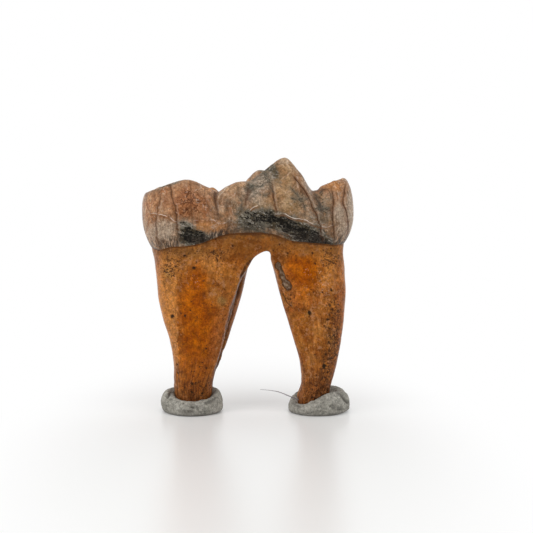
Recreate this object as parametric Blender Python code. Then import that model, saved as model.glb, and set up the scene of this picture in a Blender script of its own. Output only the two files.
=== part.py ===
"""Right lower first molar of a cave bear, standing on its two roots in two rings of grey putty.

X runs towards the mesial end, Y towards the tongue side, Z up. The dimensions are in millimetres and are
turned into metres where a mesh is made. The origin is on the floor below the middle of the crown.
"""

import math

import bmesh
import bpy
import numpy as np

MM = 0.001

# Driving dimensions, in millimetres
BULGE_HEIGHT = 28.2  # height of the crown's widest outline
NECK_INSET = 1.20  # how far the neck of the crown lies inside the widest outline
ENAMEL_LEDGE = 0.14  # step from the enamel edge in to the root
ARCH_X = 2.95  # where the arch between the roots is highest
ARCH_HEIGHT = 23.45
TIP_HEIGHT = 0.50  # height of the root tips above the floor
RING_GAP = 0.35  # clearance between putty and root
STATIONS = 76  # points round the crown
ARCH_POINTS = 8  # points across the underside of the arch

# The crown from above, from the mesial end along the cheek side and back along the tongue side:
# x and y of the widest outline, then x, y and z of the rim that carries the cusps.
RIM = [
    (14.80, 0.40, 13.55, 0.10, 32.95),  # paraconid
    (14.40, -1.90, 12.85, -0.75, 32.85),
    (13.15, -3.55, 12.05, -1.45, 32.75),
    (11.40, -4.55, 10.90, -1.95, 32.30),
    (9.70, -5.05, 9.38, -2.25, 31.40),  # notch
    (7.60, -5.70, 7.35, -2.30, 33.97),
    (5.50, -6.05, 5.15, -2.20, 36.12),  # protoconid
    (3.50, -6.05, 3.10, -2.50, 34.90),
    (1.80, -5.90, 1.45, -2.85, 33.70),
    (0.40, -5.70, 0.15, -3.10, 32.85),
    (-1.00, -5.70, -1.10, -3.20, 32.80),  # accessory cusp
    (-2.40, -5.85, -2.60, -3.30, 32.25),
    (-3.80, -6.25, -3.90, -3.40, 31.40),  # notch
    (-5.70, -6.90, -5.60, -3.60, 32.20),
    (-8.30, -7.25, -8.25, -3.70, 33.17),  # hypoconid
    (-10.70, -6.95, -10.60, -3.90, 32.65),
    (-12.70, -5.75, -12.40, -3.85, 32.00),
    (-14.15, -3.50, -13.65, -2.80, 31.45),
    (-14.72, -0.30, -14.15, -0.20, 30.90),  # distal end
    (-14.20, 3.00, -13.50, 2.40, 30.60),
    (-12.40, 5.40, -12.00, 3.70, 30.75),
    (-9.80, 6.70, -9.50, 4.20, 31.30),  # second entoconid
    (-7.20, 6.90, -7.10, 4.30, 30.65),
    (-5.10, 6.55, -5.00, 4.30, 31.22),  # first entoconid
    (-3.60, 6.15, -3.60, 4.20, 30.40),
    (-1.60, 5.65, -1.50, 4.05, 30.35),
    (0.10, 5.42, 0.05, 4.00, 32.45),
    (1.70, 5.45, 1.65, 3.90, 33.70),  # metaconid
    (2.90, 5.55, 2.90, 3.85, 33.60),
    (4.60, 5.60, 4.50, 3.75, 32.00),
    (6.40, 5.45, 6.30, 3.50, 31.00),
    (9.00, 4.90, 8.90, 3.00, 30.40),
    (11.60, 4.15, 11.30, 2.20, 31.20),
    (13.75, 2.60, 12.75, 1.10, 32.40),
]
DISTAL_KEY = 18

# Valleys down the crown's sides between the cusps: x at the rim, x low down, side, depth, width
SIDE_VALLEYS = [
    (-3.95, -4.50, -1.0, 0.55, 0.85),
    (0.10, 1.00, -1.0, 0.25, 0.80),
    (9.20, 10.30, -1.0, 0.45, 0.90),
    (-7.15, -7.00, 1.0, 0.35, 0.90),
    (-2.60, -2.40, 1.0, 0.50, 1.20),
    (6.60, 6.40, 1.0, 0.30, 1.10),
]

# Height of the enamel edge along the tooth, on the cheek side and on the tongue side
NECK_X = [-13.4, -12.0, -10.0, -8.0, -5.9, -4.7, -3.1, -1.0, 1.2, 3.4, 5.2, 7.3, 10.0, 12.2, 13.6]
NECK_CHEEK = [23.50, 23.60, 24.10, 24.25, 24.50, 24.90, 25.50, 25.85, 25.90, 25.60, 24.95, 24.50, 24.25, 23.95, 23.95]
NECK_TONGUE = [23.50, 23.55, 23.80, 23.95, 24.15, 24.40, 24.90, 25.35, 25.50, 25.30, 24.80, 24.35, 24.10, 23.95, 23.95]

# Valley floor between the cusps along the tooth: x, y, z
VALLEY = [
    (-12.6, -0.1, 30.35),
    (-10.5, 0.2, 29.45),
    (-7.5, 0.5, 29.15),
    (-4.5, 0.6, 29.30),
    (-1.8, 0.8, 30.00),
    (0.8, 1.0, 31.10),
    (3.4, 1.2, 31.85),
    (5.8, 1.0, 30.95),
    (8.3, 0.7, 30.05),
    (10.3, 0.4, 30.50),
    (12.1, 0.3, 31.90),
]

# Roots from the arch down: height, outer edge, inner edge, cheek side, tongue side
DISTAL_ROOT = [
    (23.45, -13.35, 2.95, -5.75, 5.40),
    (22.80, -13.25, 1.50, -5.72, 5.37),
    (22.10, -13.12, 0.82, -5.70, 5.35),
    (21.20, -12.97, 0.44, -5.62, 5.28),
    (19.50, -12.92, -0.07, -5.45, 5.15),
    (16.90, -12.87, -0.67, -5.15, 4.90),
    (13.50, -12.19, -1.63, -4.65, 4.50),
    (10.10, -11.17, -2.77, -4.10, 4.00),
    (6.60, -10.60, -3.92, -3.55, 3.50),
    (4.00, -10.54, -4.90, -3.10, 3.10),
    (2.00, -10.25, -5.20, -2.80, 2.80),
    (0.90, -9.75, -5.75, -2.35, 2.35),
    (0.50, -9.05, -6.50, -1.60, 1.60),
]
MESIAL_ROOT = [
    (23.45, 13.45, 2.95, -4.35, 4.05),
    (22.80, 13.40, 3.22, -4.40, 4.10),
    (22.10, 13.42, 3.18, -4.40, 4.10),
    (21.20, 13.58, 3.39, -4.38, 4.10),
    (19.50, 13.79, 3.79, -4.32, 4.05),
    (16.90, 13.95, 4.40, -4.20, 3.90),
    (13.50, 13.75, 5.39, -4.00, 3.65),
    (10.10, 13.34, 6.43, -3.70, 3.35),
    (6.60, 12.66, 7.36, -3.30, 3.00),
    (4.00, 11.90, 7.55, -2.95, 2.70),
    (2.00, 11.35, 7.05, -2.65, 2.45),
    (0.90, 10.60, 7.20, -2.20, 2.05),
    (0.50, 9.80, 7.90, -1.50, 1.35),
]


def curve(keys, values, t, period=None, flat=False):
    """Cubic through the keyed values. With flat it never runs past a key, as for heights."""
    keys = np.asarray(keys, float)
    values = np.asarray(values, float)
    t = np.asarray(t, float)
    if period is not None:
        keys = np.concatenate([keys[-2:] - period, keys, keys[:2] + period])
        values = np.concatenate([values[-2:], values, values[:2]])
    gap = np.diff(keys)
    slope = np.diff(values) / gap
    tangent = np.empty_like(values)
    tangent[1:-1] = (slope[:-1] * gap[1:] + slope[1:] * gap[:-1]) / (gap[1:] + gap[:-1])
    tangent[0], tangent[-1] = slope[0], slope[-1]
    if flat:
        product = slope[:-1] * slope[1:]
        total = slope[:-1] + slope[1:]
        mean = 2.0 * product / np.where(np.abs(total) > 1e-9, total, 1.0)
        tangent[1:-1] = np.where(product > 0.0, mean, 0.0)
    k = np.clip(np.searchsorted(keys, t, side="right") - 1, 0, len(gap) - 1)
    u = np.clip((t - keys[k]) / gap[k], 0.0, 1.0)
    return (
        values[k] * (1 + 2 * u) * (1 - u) ** 2
        + tangent[k] * gap[k] * u * (1 - u) ** 2
        + values[k + 1] * u * u * (3 - 2 * u)
        + tangent[k + 1] * gap[k] * u * u * (u - 1)
    )


def smoothstep(value):
    value = np.clip(value, 0.0, 1.0)
    return value * value * (3.0 - 2.0 * value)


def station_curves(count):
    """Widest outline, outward direction and cusp rim at each station round the crown."""
    table = np.array(RIM)
    ring = np.vstack([table, table[:1]])
    along_outline = np.linalg.norm(np.diff(ring[:, :2], axis=0), axis=1)
    along_rim = np.linalg.norm(np.diff(ring[:, 2:], axis=0), axis=1)
    length = np.concatenate([[0.0], np.cumsum(0.5 * (along_outline + along_rim))])
    period = length[-1]
    keys = length[:-1]
    half = count // 2
    t = np.concatenate([
        np.linspace(0.0, keys[DISTAL_KEY], half, endpoint=False),
        np.linspace(keys[DISTAL_KEY], period, count - half, endpoint=False),
    ])
    outline = np.column_stack([curve(keys, table[:, c], t, period) for c in (0, 1)])
    ahead = np.column_stack([curve(keys, table[:, c], t + 0.05, period) for c in (0, 1)])
    along = ahead - outline
    outward = np.column_stack([-along[:, 1], along[:, 0]])
    outward /= np.linalg.norm(outward, axis=1)[:, None]
    rim = np.column_stack([
        curve(keys, table[:, 2], t, period),
        curve(keys, table[:, 3], t, period),
        curve(keys, table[:, 4], t, period, flat=True),
    ])
    return outline, outward, rim


def neck_heights(outline):
    cheek = curve(NECK_X, NECK_CHEEK, outline[:, 0] * 0.92, flat=True)
    tongue = curve(NECK_X, NECK_TONGUE, outline[:, 0] * 0.92, flat=True)
    side = smoothstep(0.5 + outline[:, 1] / 4.0)
    return cheek * (1.0 - side) + tongue * side


def side_valley_depth(points):
    """How far the wall is pressed in at each point by the valleys between the cusps."""
    pressed = np.zeros(len(points))
    for top_x, low_x, side, depth, width in SIDE_VALLEYS:
        down = np.clip((31.5 - points[:, 2]) / 5.0, 0.0, 1.0)
        line = top_x + (low_x - top_x) * down
        near = np.exp(-(((points[:, 0] - line) / width) ** 2))
        pressed += depth * near * smoothstep(1.0 - down) * (points[:, 1] * side > 0.0)
    return pressed


class Builder:
    """Collects rings of points and the faces between them."""

    def __init__(self):
        self.points = []
        self.faces = []

    def add(self, points):
        first = len(self.points)
        self.points.extend(tuple(p) for p in points)
        return list(range(first, first + len(points)))

    def bridge(self, lower, upper):
        count = len(lower)
        for i in range(count):
            j = (i + 1) % count
            self.faces.append((lower[i], upper[i], upper[j], lower[j]))

    def close(self, ring, centre):
        tip = self.add([centre])[0]
        for i in range(len(ring)):
            self.faces.append((ring[i], ring[(i + 1) % len(ring)], tip))


def crown(builder, outline, outward, rim, neck):
    """The enamel cap from its edge up over the cusps, down to the valley floor."""
    inset = np.linalg.norm(outline - rim[:, :2], axis=1)
    power = 1.55 + 2.0 * np.exp(-inset / 1.2)
    rings = []
    for a in (0.0, 0.16, 0.38, 0.66):
        offset = NECK_INSET * (1.0 - a) ** 2.3
        z = neck + (BULGE_HEIGHT - neck) * a
        rings.append(np.column_stack([outline - outward * offset, z]))
    for up in (0.0, 0.20, 0.38, 0.54, 0.68, 0.80, 0.90, 0.965):
        out = (1.0 - up**power) ** (1.0 / 1.5)
        xy = rim[:, :2] + (outline - rim[:, :2]) * out[:, None]
        z = BULGE_HEIGHT + (rim[:, 2] - BULGE_HEIGHT) * up
        rings.append(np.column_stack([xy, z]))
    rings.append(rim.copy())
    for ring in rings:
        ring[:, :2] -= outward * side_valley_depth(ring)[:, None]
    mirror = (-np.arange(len(rim))) % len(rim)
    middle = 0.5 * (rim[:, 0] + rim[mirror, 0])
    valley = np.array(VALLEY)
    middle = np.clip(middle * (1.0 - 0.11 * (middle / 14.0) ** 2), valley[0, 0], valley[-1, 0])
    floor = np.column_stack([
        middle,
        curve(valley[:, 0], valley[:, 1], middle),
        curve(valley[:, 0], valley[:, 2], middle, flat=True),
    ])
    top = rings[-1]
    for f in (0.10, 0.24, 0.42, 0.62, 0.82):
        xy = top[:, :2] + (floor[:, :2] - top[:, :2]) * f
        z = top[:, 2] - (top[:, 2] - floor[:, 2]) * smoothstep(f)
        rings.append(np.column_stack([xy, z]))
    indices = [builder.add(ring) for ring in rings]
    for lower, upper in zip(indices[:-1], indices[1:]):
        builder.bridge(lower, upper)
    half = len(rim) // 2
    line = builder.add(floor[: half + 1])
    spine = line + line[-2:0:-1]
    builder.bridge(indices[-1], spine)
    return indices[0]


def extents(table, z):
    """Outer edge, inner edge, cheek side and tongue side of a root at each height."""
    table = np.array(table)[::-1]
    return [curve(table[:, 0], table[:, c], z, flat=True) for c in (1, 2, 3, 4)]


def root_section(table, z, angles, inner_sign, square, groove, lean):
    """Closed section of a root; angles run round it, inner_sign points at the other root."""
    outer, inner, cheek, tongue = extents(table, z)
    centre_x, half_x = (outer + inner) / 2.0, np.abs(inner - outer) / 2.0
    centre_y, half_y = (cheek + tongue) / 2.0, (tongue - cheek) / 2.0
    c, s = np.cos(angles), np.sin(angles)
    radius = (np.abs(c) ** square + np.abs(s) ** square) ** (-1.0 / square)
    u, v = radius * c, radius * s
    facing = smoothstep(1.3 * u * inner_sign)
    away = smoothstep(-1.3 * u * inner_sign)
    dip = groove * np.exp(-(((v + 0.05) / 0.30) ** 2))
    step = 2.0 * lean * np.clip(0.45 - v, 0.0, 1.0)
    back = 0.4 * groove * np.exp(-((v / 0.4) ** 2))
    x = half_x * u - inner_sign * facing * (dip + step) + inner_sign * away * back
    reach = np.max(x * inner_sign / half_x)
    x = np.where(x * inner_sign > 0.0, x / reach, x)
    return np.column_stack([centre_x + x, centre_y + half_y * v, z])


def root(builder, top, table, inner_sign, grooves, leans, heights):
    """One root, hung from the closed ring of points `top`."""
    start = np.array([builder.points[i] for i in top])
    x0 = 0.5 * (start[:, 0].min() + start[:, 0].max())
    y0 = 0.5 * (start[:, 1].min() + start[:, 1].max())
    half_x = 0.5 * np.ptp(start[:, 0])
    half_y = 0.5 * np.ptp(start[:, 1])
    first = np.unwrap(np.arctan2((start[:, 1] - y0) / half_y, (start[:, 0] - x0) / half_x))
    turn = math.copysign(2.0 * math.pi, first[-1] - first[0])
    even = first[0] + turn * np.arange(len(top)) / len(top)
    even += np.mean(first - even)
    previous = top
    for height in heights:
        down = (ARCH_HEIGHT - height) / (ARCH_HEIGHT - TIP_HEIGHT)
        z = height + (start[:, 2] - ARCH_HEIGHT) * (1.0 - smoothstep(down / 0.45))
        angles = first + (even - first) * smoothstep(down / 0.55)
        square = 2.35 + 1.4 * (1.0 - smoothstep(down / 0.35))
        groove = curve(*grooves, [height], flat=True)[0]
        lean = curve(*leans, [height], flat=True)[0]
        ring = root_section(table, z, angles, inner_sign, square, groove, lean)
        outer, inner, cheek, tongue = extents(table, z)
        guide_x = (outer + inner) / 2.0 + (start[:, 0] - x0) / half_x * np.abs(inner - outer) / 2.0
        guide_y = (cheek + tongue) / 2.0 + (start[:, 1] - y0) / half_y * (tongue - cheek) / 2.0
        blend = smoothstep(down / 0.28)
        ring[:, 0] = guide_x * (1.0 - blend) + ring[:, 0] * blend
        ring[:, 1] = guide_y * (1.0 - blend) + ring[:, 1] * blend
        indices = builder.add(ring)
        builder.bridge(indices, previous)
        previous = indices
    last = np.array([builder.points[i] for i in previous])
    tip = last.mean(axis=0)
    tip[2] = TIP_HEIGHT - 0.12
    builder.close(previous, tip)


def molar_mesh():
    builder = Builder()
    outline, outward, rim = station_curves(STATIONS)
    neck = neck_heights(outline)
    edge = crown(builder, outline, outward, rim, neck)

    near_arch = np.exp(-(((outline[:, 0] - ARCH_X) / 2.6) ** 2))
    under = neck - 0.16
    ledge = np.column_stack([outline - outward * (NECK_INSET + ENAMEL_LEDGE), under])
    ledge_ring = builder.add(ledge)
    builder.bridge(ledge_ring, edge)

    base = (neck - 0.70) * (1.0 - near_arch) + ARCH_HEIGHT * near_arch
    middle = np.column_stack([
        outline - outward * (NECK_INSET + ENAMEL_LEDGE),
        0.5 * (under + base),
    ])
    middle_ring = builder.add(middle)
    builder.bridge(middle_ring, ledge_ring)
    rounding = (NECK_INSET + ENAMEL_LEDGE) + 0.50 * near_arch
    lowest = np.column_stack([outline - outward * rounding[:, None], base])
    lowest_ring = builder.add(lowest)
    builder.bridge(lowest_ring, middle_ring)

    half = STATIONS // 2
    cheek = int(np.argmin(np.abs(lowest[:half, 0] - ARCH_X)))
    tongue = half + int(np.argmin(np.abs(lowest[half:, 0] - ARCH_X)))
    start, end = lowest[tongue], lowest[cheek]
    across = np.linspace(0.0, 1.0, ARCH_POINTS + 2)[1:-1]
    arch = start + (end - start) * across[:, None]
    arch[:, 0] = ARCH_X
    arch[:, 2] = ARCH_HEIGHT - 0.05 + 0.25 * np.sin(np.pi * across)
    arch_line = builder.add(arch)

    distal_top = lowest_ring[cheek : tongue + 1] + arch_line
    mesial_top = lowest_ring[tongue:] + lowest_ring[: cheek + 1] + arch_line[::-1]
    heights = [23.1, 22.65, 22.1, 21.3, 20.2, 18.6, 16.7, 14.6, 12.3, 10.0, 7.8, 5.8, 4.0, 2.6, 1.5, 0.85, 0.55]
    root(
        builder,
        distal_top,
        DISTAL_ROOT,
        1.0,
        ([0.0, 6.0, 12.0, 19.0, 22.5], [0.10, 0.45, 0.75, 0.80, 0.15]),
        ([0.0, 4.0, 9.0, 15.0, 19.5, 22.0], [0.0, 0.05, 0.22, 0.36, 0.36, 0.0]),
        heights,
    )
    root(
        builder,
        mesial_top,
        MESIAL_ROOT,
        -1.0,
        ([0.0, 6.0, 12.0, 19.0, 22.5], [0.10, 0.40, 0.65, 0.60, 0.15]),
        ([0.0, 22.0], [0.0, 0.0]),
        heights,
    )
    return builder


def ring_mesh(table, reach, tops, stations=34):
    """A coil of putty round a root tip: flat below, rounded above, with its height set by direction."""
    builder = Builder()
    angles = np.linspace(0.0, 2.0 * math.pi, stations, endpoint=False)
    outer, inner, cheek, tongue = [edge[0] for edge in extents(table, [2.6])]
    centre = np.array([(outer + inner) / 2.0, (cheek + tongue) / 2.0])
    hole = np.array([abs(outer - inner) / 2.0 + RING_GAP, (tongue - cheek) / 2.0 + RING_GAP])
    left, right, front, back = reach
    c, s = np.cos(angles), np.sin(angles)
    radius = (np.abs(c) ** 2.35 + np.abs(s) ** 2.35) ** (-1.0 / 2.35)
    inside = centre + np.column_stack([radius * c * hole[0], radius * s * hole[1]])
    middle = np.array([(left + right) / 2.0, (front + back) / 2.0])
    size = np.array([(right - left) / 2.0, (back - front) / 2.0])
    outside = middle + np.column_stack([c * size[0], s * size[1]])
    height = curve(*tops, np.degrees(angles), period=360.0, flat=True)
    profile = [
        (0.05, 0.0), (0.34, 0.0), (0.62, 0.0), (0.88, 0.0), (0.98, 0.11), (1.0, 0.33), (0.97, 0.58),
        (0.86, 0.82), (0.68, 0.96), (0.48, 1.0), (0.27, 0.90), (0.10, 0.70), (0.0, 0.42), (0.0, 0.18),
    ]
    rings = []
    for across, up in profile:
        xy = inside + (outside - inside) * across
        rings.append(builder.add(np.column_stack([xy, height * up])))
    for lower, upper in zip(rings, rings[1:] + rings[:1]):
        builder.bridge(lower, upper)
    return builder


def make_object(name, builder, middle, colour, roughness):
    """A mesh object in metres, with the middle of the crown's outline over the origin."""
    mesh = bpy.data.meshes.new(name)
    points = (np.array(builder.points) - middle) * MM
    mesh.from_pydata(points.tolist(), [], builder.faces)
    shaped = bmesh.new()
    shaped.from_mesh(mesh)
    bmesh.ops.recalc_face_normals(shaped, faces=shaped.faces)
    shaped.to_mesh(mesh)
    shaped.free()
    mesh.polygons.foreach_set("use_smooth", [True] * len(mesh.polygons))
    material = bpy.data.materials.new(name + "_material")
    material.use_nodes = True
    shader = material.node_tree.nodes["Principled BSDF"]
    shader.inputs["Base Color"].default_value = (*colour, 1.0)
    shader.inputs["Roughness"].default_value = roughness
    mesh.materials.append(material)
    made = bpy.data.objects.new(name, mesh)
    bpy.context.scene.collection.objects.link(made)
    return made


def clear_scene():
    for found in list(bpy.data.objects):
        bpy.data.objects.remove(found, do_unlink=True)


clear_scene()
tooth = molar_mesh()
spread = np.array(tooth.points)
crown_middle = 0.5 * (spread.min(axis=0) + spread.max(axis=0))
crown_middle[2] = 0.0
make_object("molar", tooth, crown_middle, (0.42, 0.20, 0.08), 0.35)
LEFT_RING = ring_mesh(
    DISTAL_ROOT,
    (-12.26, -3.50, -4.80, 4.85),
    ([0.0, 60.0, 120.0, 180.0, 230.0, 270.0, 310.0], [2.95, 3.0, 3.0, 2.9, 2.2, 2.0, 2.3]),
)
RIGHT_RING = ring_mesh(
    MESIAL_ROOT,
    (5.67, 14.38, -4.80, 4.60),
    ([0.0, 50.0, 90.0, 120.0, 145.0, 180.0, 234.0, 266.0, 290.0, 322.0],
     [2.8, 3.0, 3.0, 2.8, 2.1, 1.6, 1.5, 2.1, 2.85, 3.0]),
)
make_object("left_putty_ring", LEFT_RING, crown_middle, (0.30, 0.29, 0.26), 0.9)
make_object("right_putty_ring", RIGHT_RING, crown_middle, (0.30, 0.29, 0.26), 0.9)
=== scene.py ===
"""Looks of a fossil cave bear molar that stands on its two roots in two rings of grey putty.

The tooth and the putty are lofted again at a fine pitch from the same driving dimensions as the CAD solids,
then carved and stained. Lengths are in millimetres and are turned into metres where a mesh is made.
X runs towards the mesial end, Y towards the tongue side, Z up.
"""

import itertools
import math

import bpy
import numpy as np
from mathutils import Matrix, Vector


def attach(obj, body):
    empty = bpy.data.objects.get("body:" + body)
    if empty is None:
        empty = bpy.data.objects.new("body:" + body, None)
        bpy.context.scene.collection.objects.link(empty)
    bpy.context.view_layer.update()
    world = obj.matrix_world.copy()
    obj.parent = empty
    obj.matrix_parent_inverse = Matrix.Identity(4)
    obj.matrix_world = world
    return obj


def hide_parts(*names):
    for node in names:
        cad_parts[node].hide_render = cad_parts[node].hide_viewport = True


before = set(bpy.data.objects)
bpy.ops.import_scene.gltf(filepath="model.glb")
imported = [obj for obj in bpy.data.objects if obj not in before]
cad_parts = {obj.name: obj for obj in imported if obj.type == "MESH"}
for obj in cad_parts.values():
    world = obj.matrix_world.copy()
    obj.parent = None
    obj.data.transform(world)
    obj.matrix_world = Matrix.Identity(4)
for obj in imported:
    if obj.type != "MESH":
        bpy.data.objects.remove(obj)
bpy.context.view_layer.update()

MM = 0.001

# Driving dimensions of the tooth, as in the CAD solids
BULGE_HEIGHT = 28.2  # height of the crown's widest outline
NECK_INSET = 1.20  # how far the neck of the crown lies inside the widest outline
ENAMEL_LEDGE = 0.14  # step from the enamel edge in to the root
ARCH_X = 2.95  # where the arch between the roots is highest
ARCH_HEIGHT = 23.45
ARCH_HALF_WIDTH = 2.6
TIP_HEIGHT = 0.50  # height of the root tips above the floor

# Dimensions of the looks alone
ENAMEL_LIP = 0.12  # how far below the enamel edge the skin of the trunk starts
TRUNK_DROP = 0.70  # how far the trunk reaches below the enamel edge, away from the arch
ARCH_INSET = 0.50  # how far the trunk draws in towards the arch
ARCH_SAG, ARCH_RISE = 0.05, 0.25  # the arch's line starts below its height and rises in the middle
ARCH_BELOW_NECK = 3.0  # how far below the enamel edge the arch counts as lying
ROOT_TOP = 23.25  # height of the highest ring of the roots
ROOT_SQUARENESS = 2.35  # 2 makes a root's section an ellipse, and more makes it squarer
TIP_RINGS = (0.72, 0.46, 0.22)  # the rings that close a tip, as shares of the last ring
TIP_SAG = 0.12  # how far the middle of a tip hangs below its rim
HAIR_STATIONS, HAIR_SIDES = 48, 8
NECK_TURN = 2.3  # how late the wall draws in on its way down to the enamel edge
CUSP_CROWDING = 1.45  # how closely the rings of the wall crowd towards the cusps
SIDE_VALLEY_TOP, SIDE_VALLEY_FALL = 31.5, 5.0  # height where the side valleys start, and their length
SOFT_FROM, SOFT_TO = 0.25, 5.5  # how far below the enamel edge the softening starts and ends
SOFT_RISE, SOFT_FADE = 0.35, 3.0  # over what length it sets in and fades
TIP_ZONE, TIP_FADE = 7.5, 6.0  # height below which the root tips turn rough, and over what length
PUTTY_COVER = 2.2  # no pores below this height, where the putty hides the roots

# How far down a root, as a share of its length, its top ring has passed over to the root's own section
LEVEL_BY, TURNED_BY, ROUNDED_BY, SHAPED_BY = 0.45, 0.55, 0.35, 0.28
TOP_SQUARENESS = 1.4  # how much squarer a root is at its top

CROWN_MIDDLE = (0.04, -0.205, 0.0)  # middle of the crown's outline, which stands over the origin

# Pitch of the fine mesh
STATIONS = 388  # points round the crown
ARCH_POINTS = 34
LOWER_ROWS = 20
UPPER_ROWS = 38
BASIN_ROWS = 26
ROOT_ROWS = 104

# The camera of the photograph, and the size of its picture
CAMERA_PLACE = (2.61, -332.8, 69.1)
CAMERA_TILT = 8.3  # degrees below the horizon
LENS, SENSOR = 162.0, 36.0
PICTURE = 533
FOCAL = PICTURE * LENS / SENSOR  # in pixels
TILT = math.radians(CAMERA_TILT)
PIXELS_PER_MM = 7.13

# The crown from above, from the mesial end along the cheek side and back along the tongue side:
# x and y of the widest outline, then x, y and z of the rim that carries the cusps.
RIM = [
    (14.80, 0.40, 13.55, 0.10, 32.95),  # paraconid
    (14.40, -1.90, 12.85, -0.75, 32.85),
    (13.15, -3.55, 12.05, -1.45, 32.75),
    (11.40, -4.55, 10.90, -1.95, 32.30),
    (9.70, -5.05, 9.38, -2.25, 31.40),  # notch
    (7.60, -5.70, 7.35, -2.30, 33.97),
    (5.50, -6.05, 5.15, -2.20, 36.12),  # protoconid
    (3.50, -6.05, 3.10, -2.50, 34.90),
    (1.80, -5.90, 1.45, -2.85, 33.70),
    (0.40, -5.70, 0.15, -3.10, 32.85),
    (-1.00, -5.70, -1.10, -3.20, 32.80),  # accessory cusp
    (-2.40, -5.85, -2.60, -3.30, 32.25),
    (-3.80, -6.25, -3.90, -3.40, 31.40),  # notch
    (-5.70, -6.90, -5.60, -3.60, 32.20),
    (-8.30, -7.25, -8.25, -3.70, 33.17),  # hypoconid
    (-10.70, -6.95, -10.60, -3.90, 32.65),
    (-12.70, -5.75, -12.40, -3.85, 32.00),
    (-14.15, -3.50, -13.65, -2.80, 31.45),
    (-14.72, -0.30, -14.15, -0.20, 30.90),  # distal end
    (-14.20, 3.00, -13.50, 2.40, 30.60),
    (-12.40, 5.40, -12.00, 3.70, 30.75),
    (-9.80, 6.70, -9.50, 4.20, 31.30),  # second entoconid
    (-7.20, 6.90, -7.10, 4.30, 30.65),
    (-5.10, 6.55, -5.00, 4.30, 31.22),  # first entoconid
    (-3.60, 6.15, -3.60, 4.20, 30.40),
    (-1.60, 5.65, -1.50, 4.05, 30.35),
    (0.10, 5.42, 0.05, 4.00, 32.45),
    (1.70, 5.45, 1.65, 3.90, 33.70),  # metaconid
    (2.90, 5.55, 2.90, 3.85, 33.60),
    (4.60, 5.60, 4.50, 3.75, 32.00),
    (6.40, 5.45, 6.30, 3.50, 31.00),
    (9.00, 4.90, 8.90, 3.00, 30.40),
    (11.60, 4.15, 11.30, 2.20, 31.20),
    (13.75, 2.60, 12.75, 1.10, 32.40),
]
DISTAL_KEY = 18

# Valleys down the crown's sides between the cusps: x at the rim, x low down, side, depth, width
SIDE_VALLEYS = [
    (-3.95, -4.50, -1.0, 0.55, 0.85),
    (0.10, 1.00, -1.0, 0.25, 0.80),
    (9.20, 10.30, -1.0, 0.45, 0.90),
    (-7.15, -7.00, 1.0, 0.35, 0.90),
    (-2.60, -2.40, 1.0, 0.50, 1.20),
    (6.60, 6.40, 1.0, 0.30, 1.10),
]

# Enamel edge along the tooth: x, height on the cheek side, height on the tongue side
NECK = [
    (-13.4, 23.50, 23.50), (-12.0, 23.60, 23.55), (-10.0, 24.10, 23.80), (-8.0, 24.25, 23.95),
    (-5.9, 24.50, 24.15), (-4.7, 24.90, 24.40), (-3.1, 25.50, 24.90), (-1.0, 25.85, 25.35),
    (1.2, 25.90, 25.50), (3.4, 25.60, 25.30), (5.2, 24.95, 24.80), (7.3, 24.50, 24.35),
    (10.0, 24.25, 24.10), (12.2, 23.95, 23.95), (13.6, 23.95, 23.95),
]

# Valley floor between the cusps along the tooth: x, y, z
VALLEY = [
    (-12.6, -0.1, 30.35),
    (-10.5, 0.2, 29.45),
    (-7.5, 0.5, 29.15),
    (-4.5, 0.6, 29.30),
    (-1.8, 0.8, 30.00),
    (0.8, 1.0, 31.10),
    (3.4, 1.2, 31.85),
    (5.8, 1.0, 30.95),
    (8.3, 0.7, 30.05),
    (10.3, 0.4, 30.50),
    (12.1, 0.3, 31.90),
]

# Roots from the arch down: height, outer edge, inner edge, cheek side, tongue side
DISTAL_ROOT = [
    (23.45, -13.35, 2.95, -5.75, 5.40),
    (22.80, -13.25, 1.50, -5.72, 5.37),
    (22.10, -13.12, 0.82, -5.70, 5.35),
    (21.20, -12.97, 0.44, -5.62, 5.28),
    (19.50, -12.92, -0.07, -5.45, 5.15),
    (16.90, -12.87, -0.67, -5.15, 4.90),
    (13.50, -12.19, -1.63, -4.65, 4.50),
    (10.10, -11.17, -2.77, -4.10, 4.00),
    (6.60, -10.60, -3.92, -3.55, 3.50),
    (4.00, -10.54, -4.90, -3.10, 3.10),
    (2.00, -10.25, -5.20, -2.80, 2.80),
    (0.90, -9.75, -5.75, -2.35, 2.35),
    (0.50, -9.05, -6.50, -1.60, 1.60),
]
MESIAL_ROOT = [
    (23.45, 13.45, 2.95, -4.35, 4.05),
    (22.80, 13.40, 3.22, -4.40, 4.10),
    (22.10, 13.42, 3.18, -4.40, 4.10),
    (21.20, 13.58, 3.39, -4.38, 4.10),
    (19.50, 13.79, 3.79, -4.32, 4.05),
    (16.90, 13.95, 4.40, -4.20, 3.90),
    (13.50, 13.75, 5.39, -4.00, 3.65),
    (10.10, 13.34, 6.43, -3.70, 3.35),
    (6.60, 12.66, 7.36, -3.30, 3.00),
    (4.00, 11.90, 7.55, -2.95, 2.70),
    (2.00, 11.35, 7.05, -2.65, 2.45),
    (0.90, 10.60, 7.20, -2.20, 2.05),
    (0.50, 9.80, 7.90, -1.50, 1.35),
]

# Furrow down the middle of each root's inner face, and how far its cheek half is pressed in: heights, mm
DISTAL_GROOVE = ([0.0, 6.0, 12.0, 19.0, 22.5], [0.10, 0.45, 0.75, 0.80, 0.15])
MESIAL_GROOVE = ([0.0, 6.0, 12.0, 19.0, 22.5], [0.10, 0.40, 0.65, 0.60, 0.15])
DISTAL_LEAN = ([0.0, 4.0, 9.0, 15.0, 19.5, 22.0], [0.0, 0.05, 0.22, 0.36, 0.36, 0.0])
MESIAL_LEAN = ([0.0, 22.0], [0.0, 0.0])
SOFTENING_ROUNDS = 14  # how often the joint of the roots is smoothed

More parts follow.
